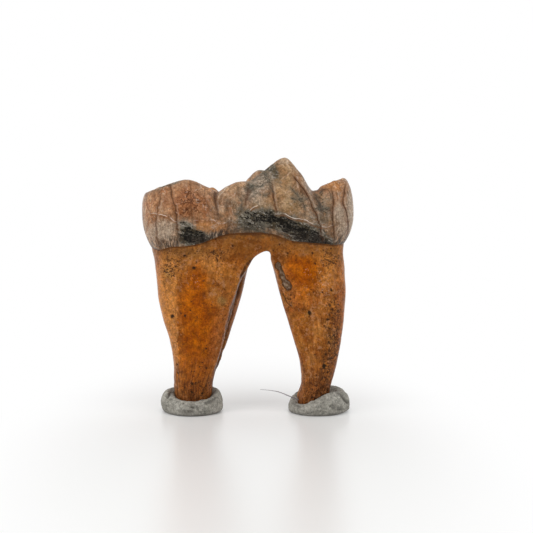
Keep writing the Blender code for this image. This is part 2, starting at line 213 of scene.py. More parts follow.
# Cross section of the putty coils: share of the way out from the root, share of the height
PUTTY_PROFILE = [
    (0.05, 0.0), (0.34, 0.0), (0.62, 0.0), (0.84, 0.0), (0.96, 0.08), (1.0, 0.30), (0.97, 0.58),
    (0.86, 0.82), (0.68, 0.96), (0.48, 1.0), (0.27, 0.96), (0.10, 0.84), (0.0, 0.62), (0.0, 0.18),
]
PUTTY_STATIONS = 230  # points round a coil
PUTTY_ROWS = 96
PUTTY_HOLD = 0.985  # the coil's inner wall lies at this share of the root's section
PUTTY_PITS = (70, 9, 0.06, 0.15)  # count, seed, smallest and largest radius in mm
PUTTY_FOOT = 0.9  # below this height the coil's inner wall keeps one section
PUTTY_GROOVE = 0.15  # depth in mm of the groove in the section that the coil follows
PUTTY_SHRINK = 0.06  # how far the free surface is drawn in to make room for the lumps
CREASE_SHADE, PIT_SHADE = 5.0, 6.0  # painted shade per mm of depth of the creases and pits
# Reach of each coil in x and y, and its height by degrees round it, from mesial by way of the tongue side
LEFT_REACH = (-12.26, -3.50, -4.80, 4.85)
LEFT_TOPS = ([0.0, 60.0, 120.0, 180.0, 230.0, 270.0, 310.0], [2.95, 3.0, 3.0, 2.9, 2.2, 2.0, 2.3])
RIGHT_REACH = (5.67, 14.38, -4.80, 4.60)
RIGHT_TOPS = (
    [0.0, 50.0, 90.0, 120.0, 145.0, 180.0, 234.0, 266.0, 290.0, 322.0],
    [2.8, 3.0, 3.0, 2.8, 2.1, 1.6, 1.5, 2.1, 2.85, 3.0],
)
# Creases of the coils: depth in mm, half width in mm, then the pixels that each runs through
LEFT_CREASES = [
    (0.28, 0.22, [(165.5, 398), (168, 395.5), (173, 391)]),
    (0.20, 0.20, [(190, 406.5), (192.5, 407.5), (195, 407)]),
    (0.15, 0.25, [(205, 404), (212, 401), (218, 396)]),
    (0.12, 0.30, [(178, 410), (186, 413), (194, 411.5)]),
]
RIGHT_CREASES = [
    (0.30, 0.18, [(333.5, 389.5), (336, 392), (340, 393.5), (343, 397), (347.5, 402.5), (349, 405)]),
    (0.12, 0.35, [(331, 404), (336, 408), (344, 410)]),
    (0.12, 0.25, [(291, 401), (295, 404), (301, 407)]),
]
# Stray hair on the right coil: pixel and y in mm, and its radii in mm from end to end
HAIR = [(260, 389.4, -2.2), (270, 390.4, -2.0), (279, 392.0, -1.8), (289, 396.0, -1.6), (299, 400, -1.2)]
HAIR_RADII = (0.022, 0.085)

# The room, with the floor in mm and the lights in metres: place, size and power
WHITE = (1.0, 1.0, 1.0, 1.0)
FLOOR_REACH, FLOOR_HEIGHT = 900.0, -0.02
PAPER_SHIFT = (0.0, 45.0, 0.0)  # from the middle of the paper to the tooth
PAPER_SIZE = (28.0, 70.0, 70.0)
PAPER_FADE = (0.55, 1.35)  # shares of that size where the paper starts and ends turning into light
ROOM_BEHIND, ROOM_AHEAD = 0.95, 0.08  # brightness behind the object and where the camera stands
ROOM_TURN = (-0.35, 0.55)  # between these parts of the way back the room turns from dim to bright
LIGHT_AIM = (0.0, 0.0, 0.018)
SOFTBOXES = {
    "softbox_left": ((-0.38, -0.20, 0.24), (0.26, 0.40), 0.90),
    "softbox_right": ((0.38, -0.20, 0.24), (0.26, 0.40), 0.52),
    "softbox_top": ((0.0, -0.22, 0.42), (0.50, 0.30), 1.20),
}

# Marks on the cheek side are placed by pixels of the 533 x 533 photograph.
# Dark cracks and grooves: depth in mm, half width in mm, how dark, then the pixels that each runs through.
CHEEK_CRACKS = {
    "hypoconid_left": (0.05, 0.13, 0.80, [(160.7, 193), (158, 208), (156, 223), (157, 237), (161, 247)]),
    "hypoconid_middle": (0.07, 0.12, 1.0, [
        (169.5, 182), (171, 190), (173, 200), (175.5, 211), (177.3, 221), (177.3, 236),
    ]),
    "hypoconid_red": (0.04, 0.16, 0.6, [(190.5, 190), (190.8, 203), (191.5, 212), (193, 226)]),
    "notch_right": (0.05, 0.14, 0.80, [(214.8, 190), (215.4, 197), (215.6, 204), (217, 211)]),
    "notch_left": (0.05, 0.18, 0.55, [(203, 194), (208.5, 204), (214.2, 215)]),
    "lobe_right": (0.05, 0.16, 0.45, [(249, 184), (247.5, 196), (244, 207), (238.5, 214)]),
    "protoconid_face": (0.06, 0.15, 1.15, [(272.6, 184), (273.6, 195), (275, 204), (276.4, 213)]),
    "protoconid_mesial": (0.08, 0.15, 1.15, [
        (291.5, 174), (297, 181), (302, 187), (307.7, 196), (314, 209), (319, 222), (322, 239),
    ]),
    "paraconid_left": (0.06, 0.14, 1.15, [(332, 189), (333.3, 200), (332.4, 213), (333.8, 227), (334, 240)]),
    "paraconid_right": (0.06, 0.15, 1.15, [
        (344.3, 184), (344, 194), (343.4, 203), (346, 213), (348, 228), (346, 240),
    ]),
}
# Grey-green veins that only colour the enamel: how dark, then the pixels
CHEEK_VEINS = {
    "face_down": (0.95, [(290, 186), (296, 193), (301, 199.5), (305, 207), (305.5, 219)]),
    "face_across": (0.9, [(291, 197), (297, 200), (303, 200.5), (309, 198.5)]),
    "slope_high": (0.9, [(247, 190), (253, 185.5), (260, 187), (267, 182.5), (274, 184)]),
    "slope_low": (0.8, [(251, 198), (258, 193.5), (265, 196), (272, 190)]),
    "slope_steep": (0.9, [(262, 172), (268, 178), (270, 186), (275, 193)]),
    "mesial_across": (1.0, [(314, 207.5), (320, 209.5), (326, 208.5), (331, 210)]),
    "mesial_down": (0.9, [(315, 192), (317, 200), (321, 208), (324, 219)]),
    "mesial_loop": (0.8, [(319, 193), (325, 190), (330, 193), (331, 200)]),
    "lobe": (0.6, [(238, 197), (242, 204), (240, 211), (234, 216)]),
    "lobe_left": (0.5, [(228, 199), (226, 207), (229, 214)]),
    "low_left": (0.7, [(236, 228), (243, 230), (251, 229), (259, 232), (268, 233)]),
}
# Broad folds of the cheek side: height in mm, half width in mm, pixels; a negative height is a hollow.
CHEEK_FOLDS = {
    "notch": (-0.13, 0.36, [(213.5, 188), (215.2, 196), (216.5, 206), (219, 216), (223, 227)]),
    "notch_left": (-0.12, 0.50, [(197, 190), (206, 201), (214, 213)]),
    "middle_lobe_edge": (0.16, 0.30, [(217.5, 203), (219.5, 195), (224, 190.5), (230, 187)]),
    "lobe_to_protoconid": (-0.16, 0.50, [(250, 185), (246, 200), (238, 212), (232, 220)]),
    "protoconid_edge": (0.12, 0.32, [(299, 180), (306, 189), (312, 199), (318, 210), (322, 222)]),
    "mesial_notch": (-0.16, 0.50, [(318, 192), (319, 202), (321, 212), (324, 226)]),
    "paraconid_front": (0.12, 0.45, [(338.5, 188), (338.5, 206), (340, 226)]),
    "hypoconid_ridge": (0.10, 0.60, [(184, 182), (183, 200), (184, 216)]),
    "band_shelf": (-0.10, 0.50, [(262, 236), (280, 233), (300, 240), (318, 243)]),
}
# Folds of the roots, in the same terms
ROOT_FOLDS = {
    "strip_edge": (0.10, 0.40, [(176, 262), (176.5, 300), (178, 345), (183, 388)]),
    "lobe_ridge": (0.14, 0.30, [
        (245, 262), (238.4, 277), (234.5, 290), (229.5, 303), (224, 325), (218.6, 349), (211.8, 373),
    ]),
    "lobe_groove": (-0.22, 0.20, [
        (252.5, 260), (246.5, 265), (241.6, 277), (238.5, 290), (234.0, 303), (228.0, 325), (222.6, 349),
        (215.6, 373), (214, 388),
    ]),
    "mesial_hollow": (-0.14, 0.80, [(322, 262), (321, 300), (319, 340)]),
    "mesial_ridge": (0.10, 0.50, [(334, 256), (335, 300), (330, 345), (325, 385)]),
}
# Fine pale lines along the lips where the enamel has flaked, painted as highlights with painted shade below:
# how bright, then the pixels
CHEEK_FLAKES = {
    "hypoconid": (1.0, [(150, 213.5), (158, 213.8), (164, 215.6), (170, 218.2), (176.2, 221.5)]),
    "beige_patch": (0.75, [
        (195, 219.6), (204, 220.4), (213, 220.6), (217, 222.5), (222, 224.4), (228, 221.5),
    ]),
    "band_left": (0.8, [(249.5, 210.5), (253, 207), (258, 205)]),
    "band_top": (1.1, [
        (275.5, 214.2), (285, 214), (291, 217), (297, 219.3), (304, 219.8), (312, 223.4), (320, 226),
        (327, 227), (332, 225.5),
    ]),
    "band_low": (0.5, [(281, 231), (287, 233.5), (291, 236)]),
    "lobe_edge": (0.5, [(218, 200), (221.5, 193.5), (228, 188)]),
}

# Guessed cracks on the tongue side, in the same pixels as if seen through the tooth
TONGUE_CRACKS = {
    "entoconid_distal": (0.08, 0.13, 0.8, [(168, 190), (170, 205), (168, 222), (171, 240)]),
    "entoconid_notch": (0.14, 0.16, 0.8, [(199, 193), (200, 206), (203, 222), (203, 238)]),
    "entoconid_mesial": (0.07, 0.13, 0.7, [(221, 190), (219, 205), (222, 221), (221, 234)]),
    "metaconid_distal": (0.12, 0.15, 0.8, [(243, 183), (246, 198), (243, 213), (247, 230)]),
    "metaconid_mesial": (0.09, 0.13, 0.9, [(275, 180), (279, 196), (277, 212), (283, 236)]),
    "low_ridge": (0.10, 0.15, 0.8, [(305, 193), (304, 207), (309, 221), (308, 240)]),
    "paraconid_back": (0.08, 0.13, 0.8, [(332, 189), (330, 204), (333, 219), (331, 238)]),
}
TONGUE_FLAKES = {
    "entoconid": (0.8, [(180, 214), (188, 212), (196, 216), (204, 215)]),
    "metaconid": (0.8, [(252, 216), (262, 213), (270, 217), (281, 219), (290, 216)]),
}

# Soft-edged patches: centre in pixels, half width and half height in pixels, slant in degrees, strength
CHEEK_PATCHES = {
    "stain": [
        (193, 238, 13, 8, 8, 1.15), (185, 230, 8, 9, 0, 0.62), (205, 241, 8, 5, 10, 0.58),
        (162, 187, 12, 2, -20, 0.50), (174, 183, 8, 2, -20, 0.40), (215, 203, 4, 12, 0, 0.25),
        (298, 231, 22, 9, 20, 1.00), (280, 220, 17, 8, 12, 0.80), (260, 217, 13, 8, -15, 0.62),
        (247, 222, 12, 9, 0, 0.50), (243, 212, 8, 7, -20, 0.50), (254, 229, 13, 5, 5, 0.40),
        (304, 240, 16, 5, 12, 0.50), (316, 238, 11, 7, 10, 0.90), (318, 220, 14, 8, 30, 0.34),
        (262, 171, 14, 7, -38, 0.66), (275, 172, 4, 10, -20, 0.56), (251, 188, 5, 5, 0, 0.72),
        (262, 184, 15, 6, -15, 0.26), (322, 205, 6, 12, 0, 0.28), (160, 246, 12, 4, 0, 0.34),
        (330, 245, 18, 4, 0, 0.62), (330, 212, 8, 10, 0, 0.22),
    ],
    "marble": [
        (262, 180, 17, 9, -15, 1.0), (246, 194, 8, 9, 0, 0.55), (301, 201, 9, 11, 10, 1.00),
        (322, 205, 8, 15, 0, 1.00), (266, 201, 15, 9, 0, 0.65), (288, 190, 8, 8, 0, 0.30),
        (236, 207, 8, 9, 0, 0.50), (243, 233, 14, 7, 0, 0.75), (331, 214, 9, 12, 0, 0.45),
        (178, 226, 7, 6, 0, 0.40), (222, 214, 8, 10, 0, 0.35), (162, 187, 14, 4, -20, 0.35),
    ],
    "warm": [
        (176, 199, 24, 18, 0, 1.35), (205, 207, 11, 14, 0, 1.20), (150, 205, 6, 18, 0, 0.60),
        (334, 188, 15, 9, 0, 0.35), (282, 190, 14, 14, 0, 0.10), (300, 222, 20, 6, 20, 0.20),
    ],
    "rust": [
        (186, 198, 10, 12, 0, 0.95), (182, 211, 10, 8, 0, 0.65), (201, 205, 9, 12, 0, 0.55),
        (165, 217, 10, 3, 15, 0.5), (291.6, 182.6, 3.2, 2.6, 0, 0.85), (280, 167, 5, 5, 10, 1.1),
        (287, 186, 5, 12, -25, 0.4), (214.6, 230, 2.5, 3, 0, 1.2), (247, 196, 5, 12, 20, 0.35),
    ],
    "orange": [
        (206, 227, 13, 7, 0, 0.95), (214, 188, 8, 4, 0, 1.0), (333, 184, 15, 7, -10, 0.75),
        (281, 197, 17, 13, 0, 0.45), (240, 186, 10, 4, 0, 0.35), (344, 197, 5, 12, 0, 0.35),
        (222, 232, 9, 7, 0, 0.5),
    ],
    # The narrow pale patches along the paraconid's right edge, at 351,214, 340,228 and 349,232, are paler
    # worn enamel with a painted rim reflection.
    "pale": [
        (163, 231, 14, 11, 0, 1.0), (351, 214, 4, 26, 0, 1.3), (340, 228, 6, 14, 0, 0.6),
        (284, 163, 6, 5, 0, 0.30), (262, 179, 13, 6, -38, 1.00), (254, 190, 10, 7, -20, 0.80),
        (258, 201, 12, 6, 0, 0.50), (291, 196, 12, 20, 25, 0.30), (310, 190, 4, 14, -28, 0.55),
        (230, 203, 12, 14, 0, 0.25), (216, 236, 9, 5, 0, 0.95), (349, 232, 6, 12, 0, 0.60),
        (188, 224, 8, 4, 0, 0.6), (344, 181, 7, 5, 0, 0.5), (339, 210, 6, 7, 0, 0.9),
        (283, 160, 9, 5, 0, 0.25),
    ],
    "core": [
        (194, 312, 15, 34, -2, 1.20), (196, 352, 14, 26, -2, 0.70), (200, 275, 10, 14, 0, 0.40),
        (213, 328, 8, 32, 6, 0.45), (303, 270, 20, 17, 15, 1.05), (303, 300, 14, 26, 8, 0.40),
        (190, 384, 16, 22, 0, 0.60), (240, 258, 10, 12, 30, 0.50), (262, 243, 18, 7, 0, 0.45),
        (316, 385, 14, 24, 8, 0.45),
    ],
    "gold": [
        (170, 305, 9, 46, -4, 0.95), (172, 262, 16, 14, 0, 0.55), (210, 264, 18, 16, 0, 0.75),
        (222, 300, 10, 26, 5, 0.35), (316, 330, 12, 40, 6, 0.55), (330, 270, 12, 22, 0, 0.55),
        (318, 254, 18, 8, 0, 0.40),
    ],
    "honey": [
        (284, 178, 12, 22, 0, 1.00), (263, 204, 12, 7, 0, 0.75), (292, 208, 10, 12, 20, 0.80),
        (210, 236, 9, 5, 0, 0.50), (326, 200, 8, 8, 0, 0.45), (236, 197, 9, 8, 0, 0.30),
    ],
    "shade": [
        (243, 254, 15, 8, 25, 0.8), (262, 246, 16, 4, 0, 0.6), (279, 256, 7, 9, 0, 0.5),
        (222, 335, 5, 30, 9, 0.4),
    ],
    "green": [
        (222, 301, 5, 6, 0, 0.9), (186, 254, 26, 7, 0, 0.50), (309, 314, 5, 4, 0, 0.6),
        (168, 275, 6, 8, 0, 0.6),
    ],
    "glint": [
        (320, 276, 5, 8, 0, 1.0), (327, 289, 6, 7, 0, 1.0), (304, 292, 5, 5, 0, 1.0),
        (306, 272, 5, 4, 0, 0.8), (194, 281, 6, 5, 0, 0.7),
    ],
    "blush": [
        (216, 340, 9, 34, 8, 0.75), (228, 305, 6, 30, 10, 0.35), (290, 296, 10, 34, -10, 0.55),
        (341, 305, 6, 44, 0, 0.75), (340, 350, 6, 20, 12, 0.60), (318, 300, 14, 20, 0, 0.40),
        (312, 392, 12, 12, 0, 0.55), (158, 275, 5, 24, 0, 0.45), (264, 245, 8, 4, 0, 0.55),
    ],
    "dirt": [
        (169, 268, 12, 16, 0, 0.90), (218, 255, 14, 9, 0, 0.75), (190, 252, 26, 6, 0, 0.45),
        (330, 258, 12, 12, 0, 0.85), (332, 300, 11, 20, 0, 0.40), (338, 318, 6, 34, 4, 0.28),
        (333, 350, 12, 40, 8, 0.85), (318, 392, 16, 14, 0, 0.75), (286, 252, 14, 10, 0, 0.55),
        (196, 396, 20, 20, 0, 0.55), (290, 300, 8, 14, 0, 0.55), (222, 282, 8, 12, 0, 0.35),
    ],
}
TONGUE_PATCHES = {
    "stain": [
        (180, 237, 20, 7, 0, 0.95), (222, 228, 16, 10, -10, 0.75), (268, 226, 20, 10, 8, 1.0),
        (322, 238, 20, 7, 0, 0.85), (262, 186, 7, 9, 0, 0.5), (200, 200, 6, 9, 0, 0.45),
    ],
    "marble": [(190, 214, 18, 12, 0, 0.6), (270, 200, 18, 14, 0, 0.7), (330, 214, 14, 14, 0, 0.5)],
    "warm": [(204, 205, 20, 16, 0, 0.6), (292, 206, 16, 14, 0, 0.6)],
    "rust": [(178, 206, 12, 10, 0, 0.7), (262, 202, 10, 11, 0, 0.6), (318, 212, 10, 9, 0, 0.5)],
    "orange": [(208, 214, 14, 10, 0, 0.6), (258, 182, 8, 6, 0, 0.8), (300, 218, 12, 9, 0, 0.6)],
    "pale": [
        (156, 222, 9, 20, 0, 0.8), (236, 238, 14, 6, 0, 0.6), (296, 240, 12, 5, 0, 0.6),
        (348, 214, 7, 24, 0, 0.8),
    ],
    "core": [(196, 310, 18, 56, 0, 0.9), (308, 300, 16, 60, 6, 0.7)],
    "gold": [(172, 290, 10, 44, 0, 0.7), (222, 270, 12, 30, 0, 0.5), (330, 280, 12, 40, 0, 0.6)],
    "blush": [(214, 340, 10, 36, 8, 0.6), (292, 310, 8, 44, -8, 0.6)],
    "dirt": [
        (200, 262, 34, 12, 0, 0.8), (310, 262, 30, 12, 0, 0.8), (196, 392, 20, 22, 0, 0.7),
        (318, 380, 14, 30, 0, 0.9),
    ],
    "green": [(186, 270, 12, 8, 0, 0.5), (322, 300, 8, 12, 0, 0.6)],
    "honey": [(262, 190, 10, 12, 0, 0.6), (186, 222, 12, 10, 0, 0.5)],
    "shade": [(262, 250, 22, 8, 0, 0.7)],
    "glint": [(210, 300, 8, 12, 0, 0.6), (330, 270, 8, 12, 0, 0.6)],
}

# Single dark pores on the cheek side: pixel, radius in pixels, depth in mm
CHEEK_PORES = [
    (172, 316.5, 2.2, 0.14), (185, 316, 1.9, 0.12), (194, 268, 2.0, 0.14), (196.5, 263.5, 1.3, 0.08),
    (175, 343, 1.5, 0.08), (309.6, 313.5, 2.6, 0.14), (332, 309, 1.7, 0.10), (324, 366, 2.3, 0.14),
    (326, 354, 2.0, 0.10), (290.5, 299, 1.7, 0.08), (162, 289, 2.4, 0.06), (163, 304, 2.2, 0.06),
    (212, 278, 1.2, 0.05), (219, 289, 1.2, 0.05), (320, 302, 1.0, 0.06), (228, 258, 2.0, 0.06),
    (221, 252, 1.8, 0.06), (188, 259.7, 1.1, 0.06), (181.9, 269.2, 1.2, 0.07), (178.6, 269.6, 1.1, 0.06),
    (175.3, 267, 1.3, 0.07), (184.3, 267, 1.0, 0.05), (172, 271, 1.2, 0.06), (166.3, 274.4, 1.3, 0.07),
    (163, 274.4, 1.2, 0.06), (164.7, 279.3, 1.2, 0.06), (162.2, 267, 1.4, 0.07),
    (158.9, 264.6, 1.1, 0.05), (161.4, 261, 1.1, 0.05), (169.6, 261.3, 1.0, 0.05),
    (217.1, 274.4, 1.1, 0.06), (224.5, 284.3, 1.2, 0.06), (225.3, 288.4, 1.3, 0.07),
    (227, 291, 1.0, 0.05), (214.7, 284.3, 1.1, 0.06), (217.1, 259.7, 1.4, 0.06),
    (220.4, 256.4, 1.4, 0.06), (222.9, 253.9, 1.2, 0.06), (215.5, 253.9, 1.1, 0.05),
    (219.6, 261.3, 1.3, 0.06), (184.3, 332.6, 1.1, 0.04), (184.3, 377.7, 1.4, 0.06),
    (313.5, 338, 1.3, 0.06), (316, 345, 1.1, 0.05), (309, 350, 1.1, 0.05), (331, 318, 1.5, 0.07),
    (328, 331, 1.5, 0.07), (335, 338, 1.4, 0.07), (329, 342, 1.6, 0.07), (333, 347, 1.5, 0.07),
    (322, 372, 1.6, 0.07),
]
SCAR = [(277.2, 265.5), (280.5, 271), (282.3, 277.5), (284.8, 283), (288.5, 287)]
SCAR_HALF_WIDTH = 0.36
STAIN_SLOPE = 18.0  # degrees by which the stain's streaks fall towards the mesial end
ROOT_PORES = (420, 5, 0.07, 0.20)  # count, seed, smallest and largest radius in mm
MARK_WANDER = 1.5  # pixels by which noise moves the marks about
EDGE_WOBBLE = 1.7  # how far noise moves the border of a patch
FLAKE_STEP, FLAKE_FADE = 0.06, 0.9  # height of the step below a flaked edge, and over what length it fades
SCAR_RIM, SCAR_FILLING = 0.16, 0.04  # depth of the scar's rim and height of its filling
ROOT_CRACK_DEPTH, ROOT_CRACK_HALF_WIDTH = 0.10, 0.11
PORE_SHARE, PORE_SHADE = 0.7, 9.0  # how deep scattered pores are cut, and their painted shade per mm of depth
ROOT_GRAIN, TIP_GRAIN = 0.020, 0.085  # height of the roots' long grain, and what the rough tips add
RIDGE_GAIN, FORM_GAIN = 40.0, 120.0  # fine and broad bends are blown up to about 1 for the materials
ROOT_CRACK = [(282.5, 292.5), (284, 297), (286.5, 302), (290, 305), (294, 305.5)]

# Relief made by noise: height in mm, size of the features in mm, seed, and layers of finer and finer noise
RELIEF = {
    "neck_waves": (0.07, 1.3, 5, 2),
    "flutes": (0.045, (0.9, 0.9, 9.0), 11, 3),
    "enamel_swells": (0.05, 2.2, 23, 3),
    "growth_rings": (0.010, (6.0, 6.0, 0.35), 31, 2),
    "basin_folds": (0.26, (0.95, 0.95, 30.0), 47, 3),
    "basin_wrinkles": (0.16, 0.9, 53, 3),
    "root_grain": (1.0, (0.55, 0.55, 6.0), 61, 3),
    "root_swells": (0.07, 2.6, 67, 3),
    "rough_tips": (0.10, 0.7, 71, 3),
    "putty_lumps": (0.22, (2.2, 2.2, 1.5), 83, 2),
    "putty_dents": (0.13, 0.8, 89, 3),
    "putty_grain": (0.055, 0.34, 97, 3),
}


def curve(keys, values, t, period=None, flat=False):
    """Cubic through the keyed values. With flat it never runs past a key, as for heights."""
    keys = np.asarray(keys, float)
    values = np.asarray(values, float)
    t = np.asarray(t, float)
    if period is not None:
        keys = np.concatenate([keys[-2:] - period, keys, keys[:2] + period])
        values = np.concatenate([values[-2:], values, values[:2]])
    gap = np.diff(keys)
    slope = np.diff(values) / gap
    tangent = np.empty_like(values)
    tangent[1:-1] = (slope[:-1] * gap[1:] + slope[1:] * gap[:-1]) / (gap[1:] + gap[:-1])
    tangent[0], tangent[-1] = slope[0], slope[-1]
    if flat:
        product = slope[:-1] * slope[1:]
        total = slope[:-1] + slope[1:]
        mean = 2.0 * product / np.where(np.abs(total) > 1e-9, total, 1.0)
        tangent[1:-1] = np.where(product > 0.0, mean, 0.0)
    k = np.clip(np.searchsorted(keys, t, side="right") - 1, 0, len(gap) - 1)
    u = np.clip((t - keys[k]) / gap[k], 0.0, 1.0)
    return (
        values[k] * (1 + 2 * u) * (1 - u) ** 2
        + tangent[k] * gap[k] * u * (1 - u) ** 2
        + values[k + 1] * u * u * (3 - 2 * u)
        + tangent[k + 1] * gap[k] * u * u * (u - 1)
    )


def smoothstep(value):
    value = np.clip(value, 0.0, 1.0)
    return value * value * (3.0 - 2.0 * value)


def bell(distance, width):
    """1 at no distance, falling to 0 over about twice the width."""
    return np.exp(-((distance / width) ** 2))


def tapered(along, start, end):
    """1 along a line, fading to 0 over these shares of it at its start and its end."""
    return smoothstep(along / start) * smoothstep((1.0 - along) / end)


def lattice_noise(points, seed):
    """Smooth random field from -1 to 1 with features about one unit across."""
    cell = np.floor(points).astype(np.int64)
    inside = points - cell
    blend = inside * inside * (3.0 - 2.0 * inside)
    total = np.zeros(len(points))
    for corner in itertools.product((0, 1), repeat=3):
        at = cell + np.array(corner)
        mixed = at[:, 0] * 374761393 + at[:, 1] * 668265263 + at[:, 2] * 1274126177 + seed * 974634777
        mixed = ((mixed & 0xFFFFFFFF) ^ ((mixed & 0xFFFFFFFF) >> 13)) * 1274126177
        mixed = (mixed & 0xFFFFFFFF) ^ ((mixed & 0xFFFFFFFF) >> 16)
        value = (mixed & 0xFFFF) / 32767.5 - 1.0
        weight = np.prod(np.where(np.array(corner) > 0, blend, 1.0 - blend), axis=1)
        total += value * weight
    return total


def rough_noise(points, size, seed, octaves=3):
    """Sum of finer and finer noise; size is the largest feature in mm, one number or one for each axis."""
    scaled = np.asarray(points, float) / np.asarray(size, float)
    total = np.zeros(len(scaled))
    reach = 0.0
    for octave in range(octaves):
        share = 0.5**octave
        total += share * lattice_noise(scaled * 2.0**octave + 17.3 * octave, seed + octave)
        reach += share
    return total / reach


def relief(name, points, share=1.0):
    """One row of the table of relief, at each point; the share makes it weaker or stronger."""
    height, size, seed, octaves = RELIEF[name]
    return height * share * rough_noise(points, size, seed, octaves)


def seen_at(points):
    """Where points of the object, in mm, lie in the photograph, in pixels."""
    offset = np.asarray(points, float) - np.array(CAMERA_PLACE)
    depth = offset[:, 1] * math.cos(TILT) - offset[:, 2] * math.sin(TILT)
    up = offset[:, 1] * math.sin(TILT) + offset[:, 2] * math.cos(TILT)
    return np.column_stack([
        PICTURE / 2 + FOCAL * offset[:, 0] / depth,
        PICTURE / 2 - FOCAL * up / depth,
    ])


def line_distance(seen, pixels, reach=14.0):
    """Signed distance in mm to a smooth line through pixels, and how far along it each point is, from 0 to 1.
    Points further off than reach, in pixels, are given a large distance."""
    path = np.array(pixels, float)
    t = np.linspace(0.0, len(path) - 1.0, 4 * (len(path) - 1) + 1)
    path = np.column_stack([curve(np.arange(len(path)), path[:, c], t) for c in (0, 1)])
    piece = np.diff(path, axis=0)
    length = np.linalg.norm(piece, axis=1)
    before = np.concatenate([[0.0], np.cumsum(length)])
    near = np.all((seen > path.min(axis=0) - reach) & (seen < path.max(axis=0) + reach), axis=1)
    close = seen[near]
    best = np.full(len(close), 1e9)
    signed = np.full(len(close), 1e9)
    along = np.zeros(len(close))
    for i in range(len(piece)):
        offset = close - path[i]
        share = np.clip(offset @ piece[i] / length[i] ** 2, 0.0, 1.0)
        away = offset - share[:, None] * piece[i]
        distance = np.linalg.norm(away, axis=1)
        side = np.sign(piece[i][0] * offset[:, 1] - piece[i][1] * offset[:, 0])
        nearer = distance < best
        best = np.where(nearer, distance, best)
        signed = np.where(nearer, side * distance, signed)
        along = np.where(nearer, (before[i] + share * length[i]) / before[-1], along)
    all_signed = np.full(len(seen), 99.0)
    all_along = np.zeros(len(seen))
    all_signed[near] = signed / PIXELS_PER_MM
    all_along[near] = along
    return all_signed, all_along


def folds_height(seen, folds):
    """Sum of the folds' heights in mm at each point."""
    total = np.zeros(len(seen))
    for height, half_width, pixels in folds.values():
        distance, along = line_distance(seen, pixels, 22.0)
        taper = tapered(along, 0.15, 0.18)
        total += height * taper * bell(distance, half_width)
    return total


def patch(seen, spot):
    """Soft-edged patch: 1 times its strength in the middle, nothing outside."""
    u, v, half_u, half_v, slant, strength = spot
    turn = math.radians(slant)
    du, dv = seen[:, 0] - u, seen[:, 1] - v
    across = (du * math.cos(turn) + dv * math.sin(turn)) / half_u
    down = (-du * math.sin(turn) + dv * math.cos(turn)) / half_v
    return strength * np.exp(-0.9 * (across**2 + down**2))


class Surface:
    """Points, with a place in the tooth's growth and a height of the enamel edge for each, and faces."""

    def __init__(self):
        self.points = []
        self.growth = []
        self.neck = []
        self.faces = []

    def add(self, points, growth, neck):
        first = len(self.points)
        self.points.extend(map(tuple, points))
        self.growth.extend(map(tuple, growth))
        self.neck.extend(np.broadcast_to(neck, len(points)))
        return list(range(first, first + len(points)))

    def bridge(self, lower, upper):
        count = len(lower)
        for i in range(count):
            j = (i + 1) % count
            self.faces.append((lower[i], upper[i], upper[j], lower[j]))

    def close(self, ring, centre):
        tip = self.add([centre], [centre], BULGE_HEIGHT)[0]
        for i in range(len(ring)):
            self.faces.append((ring[i], ring[(i + 1) % len(ring)], tip))


def station_curves(count):
    """Widest outline, outward direction and cusp rim at each station round the crown."""
    table = np.array(RIM)
    ring = np.vstack([table, table[:1]])
    along_outline = np.linalg.norm(np.diff(ring[:, :2], axis=0), axis=1)
    along_rim = np.linalg.norm(np.diff(ring[:, 2:], axis=0), axis=1)
    length = np.concatenate([[0.0], np.cumsum(0.5 * (along_outline + along_rim))])
    period = length[-1]
    keys = length[:-1]
    half = count // 2
    t = np.concatenate([
        np.linspace(0.0, keys[DISTAL_KEY], half, endpoint=False),
        np.linspace(keys[DISTAL_KEY], period, count - half, endpoint=False),
    ])
    outline = np.column_stack([curve(keys, table[:, c], t, period) for c in (0, 1)])
    ahead = np.column_stack([curve(keys, table[:, c], t + 0.05, period) for c in (0, 1)])
    along = ahead - outline
    outward = np.column_stack([-along[:, 1], along[:, 0]])
    outward /= np.linalg.norm(outward, axis=1)[:, None]
    rim = np.column_stack([
        curve(keys, table[:, 2], t, period),
        curve(keys, table[:, 3], t, period),
        curve(keys, table[:, 4], t, period, flat=True),
    ])
    return outline, outward, rim


def neck_heights(outline):
    table = np.array(NECK)
    cheek, tongue = (curve(table[:, 0], table[:, c], outline[:, 0] * 0.92, flat=True) for c in (1, 2))
    side = smoothstep(0.5 + outline[:, 1] / 4.0)
    wavy = relief("neck_waves", np.column_stack([outline, 0.0 * outline[:, 0]]))
    return cheek * (1.0 - side) + tongue * side + wavy


def side_valley_depth(points):
    """How far the wall is pressed in at each point by the valleys between the cusps."""
    pressed = np.zeros(len(points))
    for top_x, low_x, side, depth, width in SIDE_VALLEYS:
        down = np.clip((SIDE_VALLEY_TOP - points[:, 2]) / SIDE_VALLEY_FALL, 0.0, 1.0)
        line = top_x + (low_x - top_x) * down
        near = bell(points[:, 0] - line, width)
        pressed += depth * near * smoothstep(1.0 - down) * (points[:, 1] * side > 0.0)
    return pressed


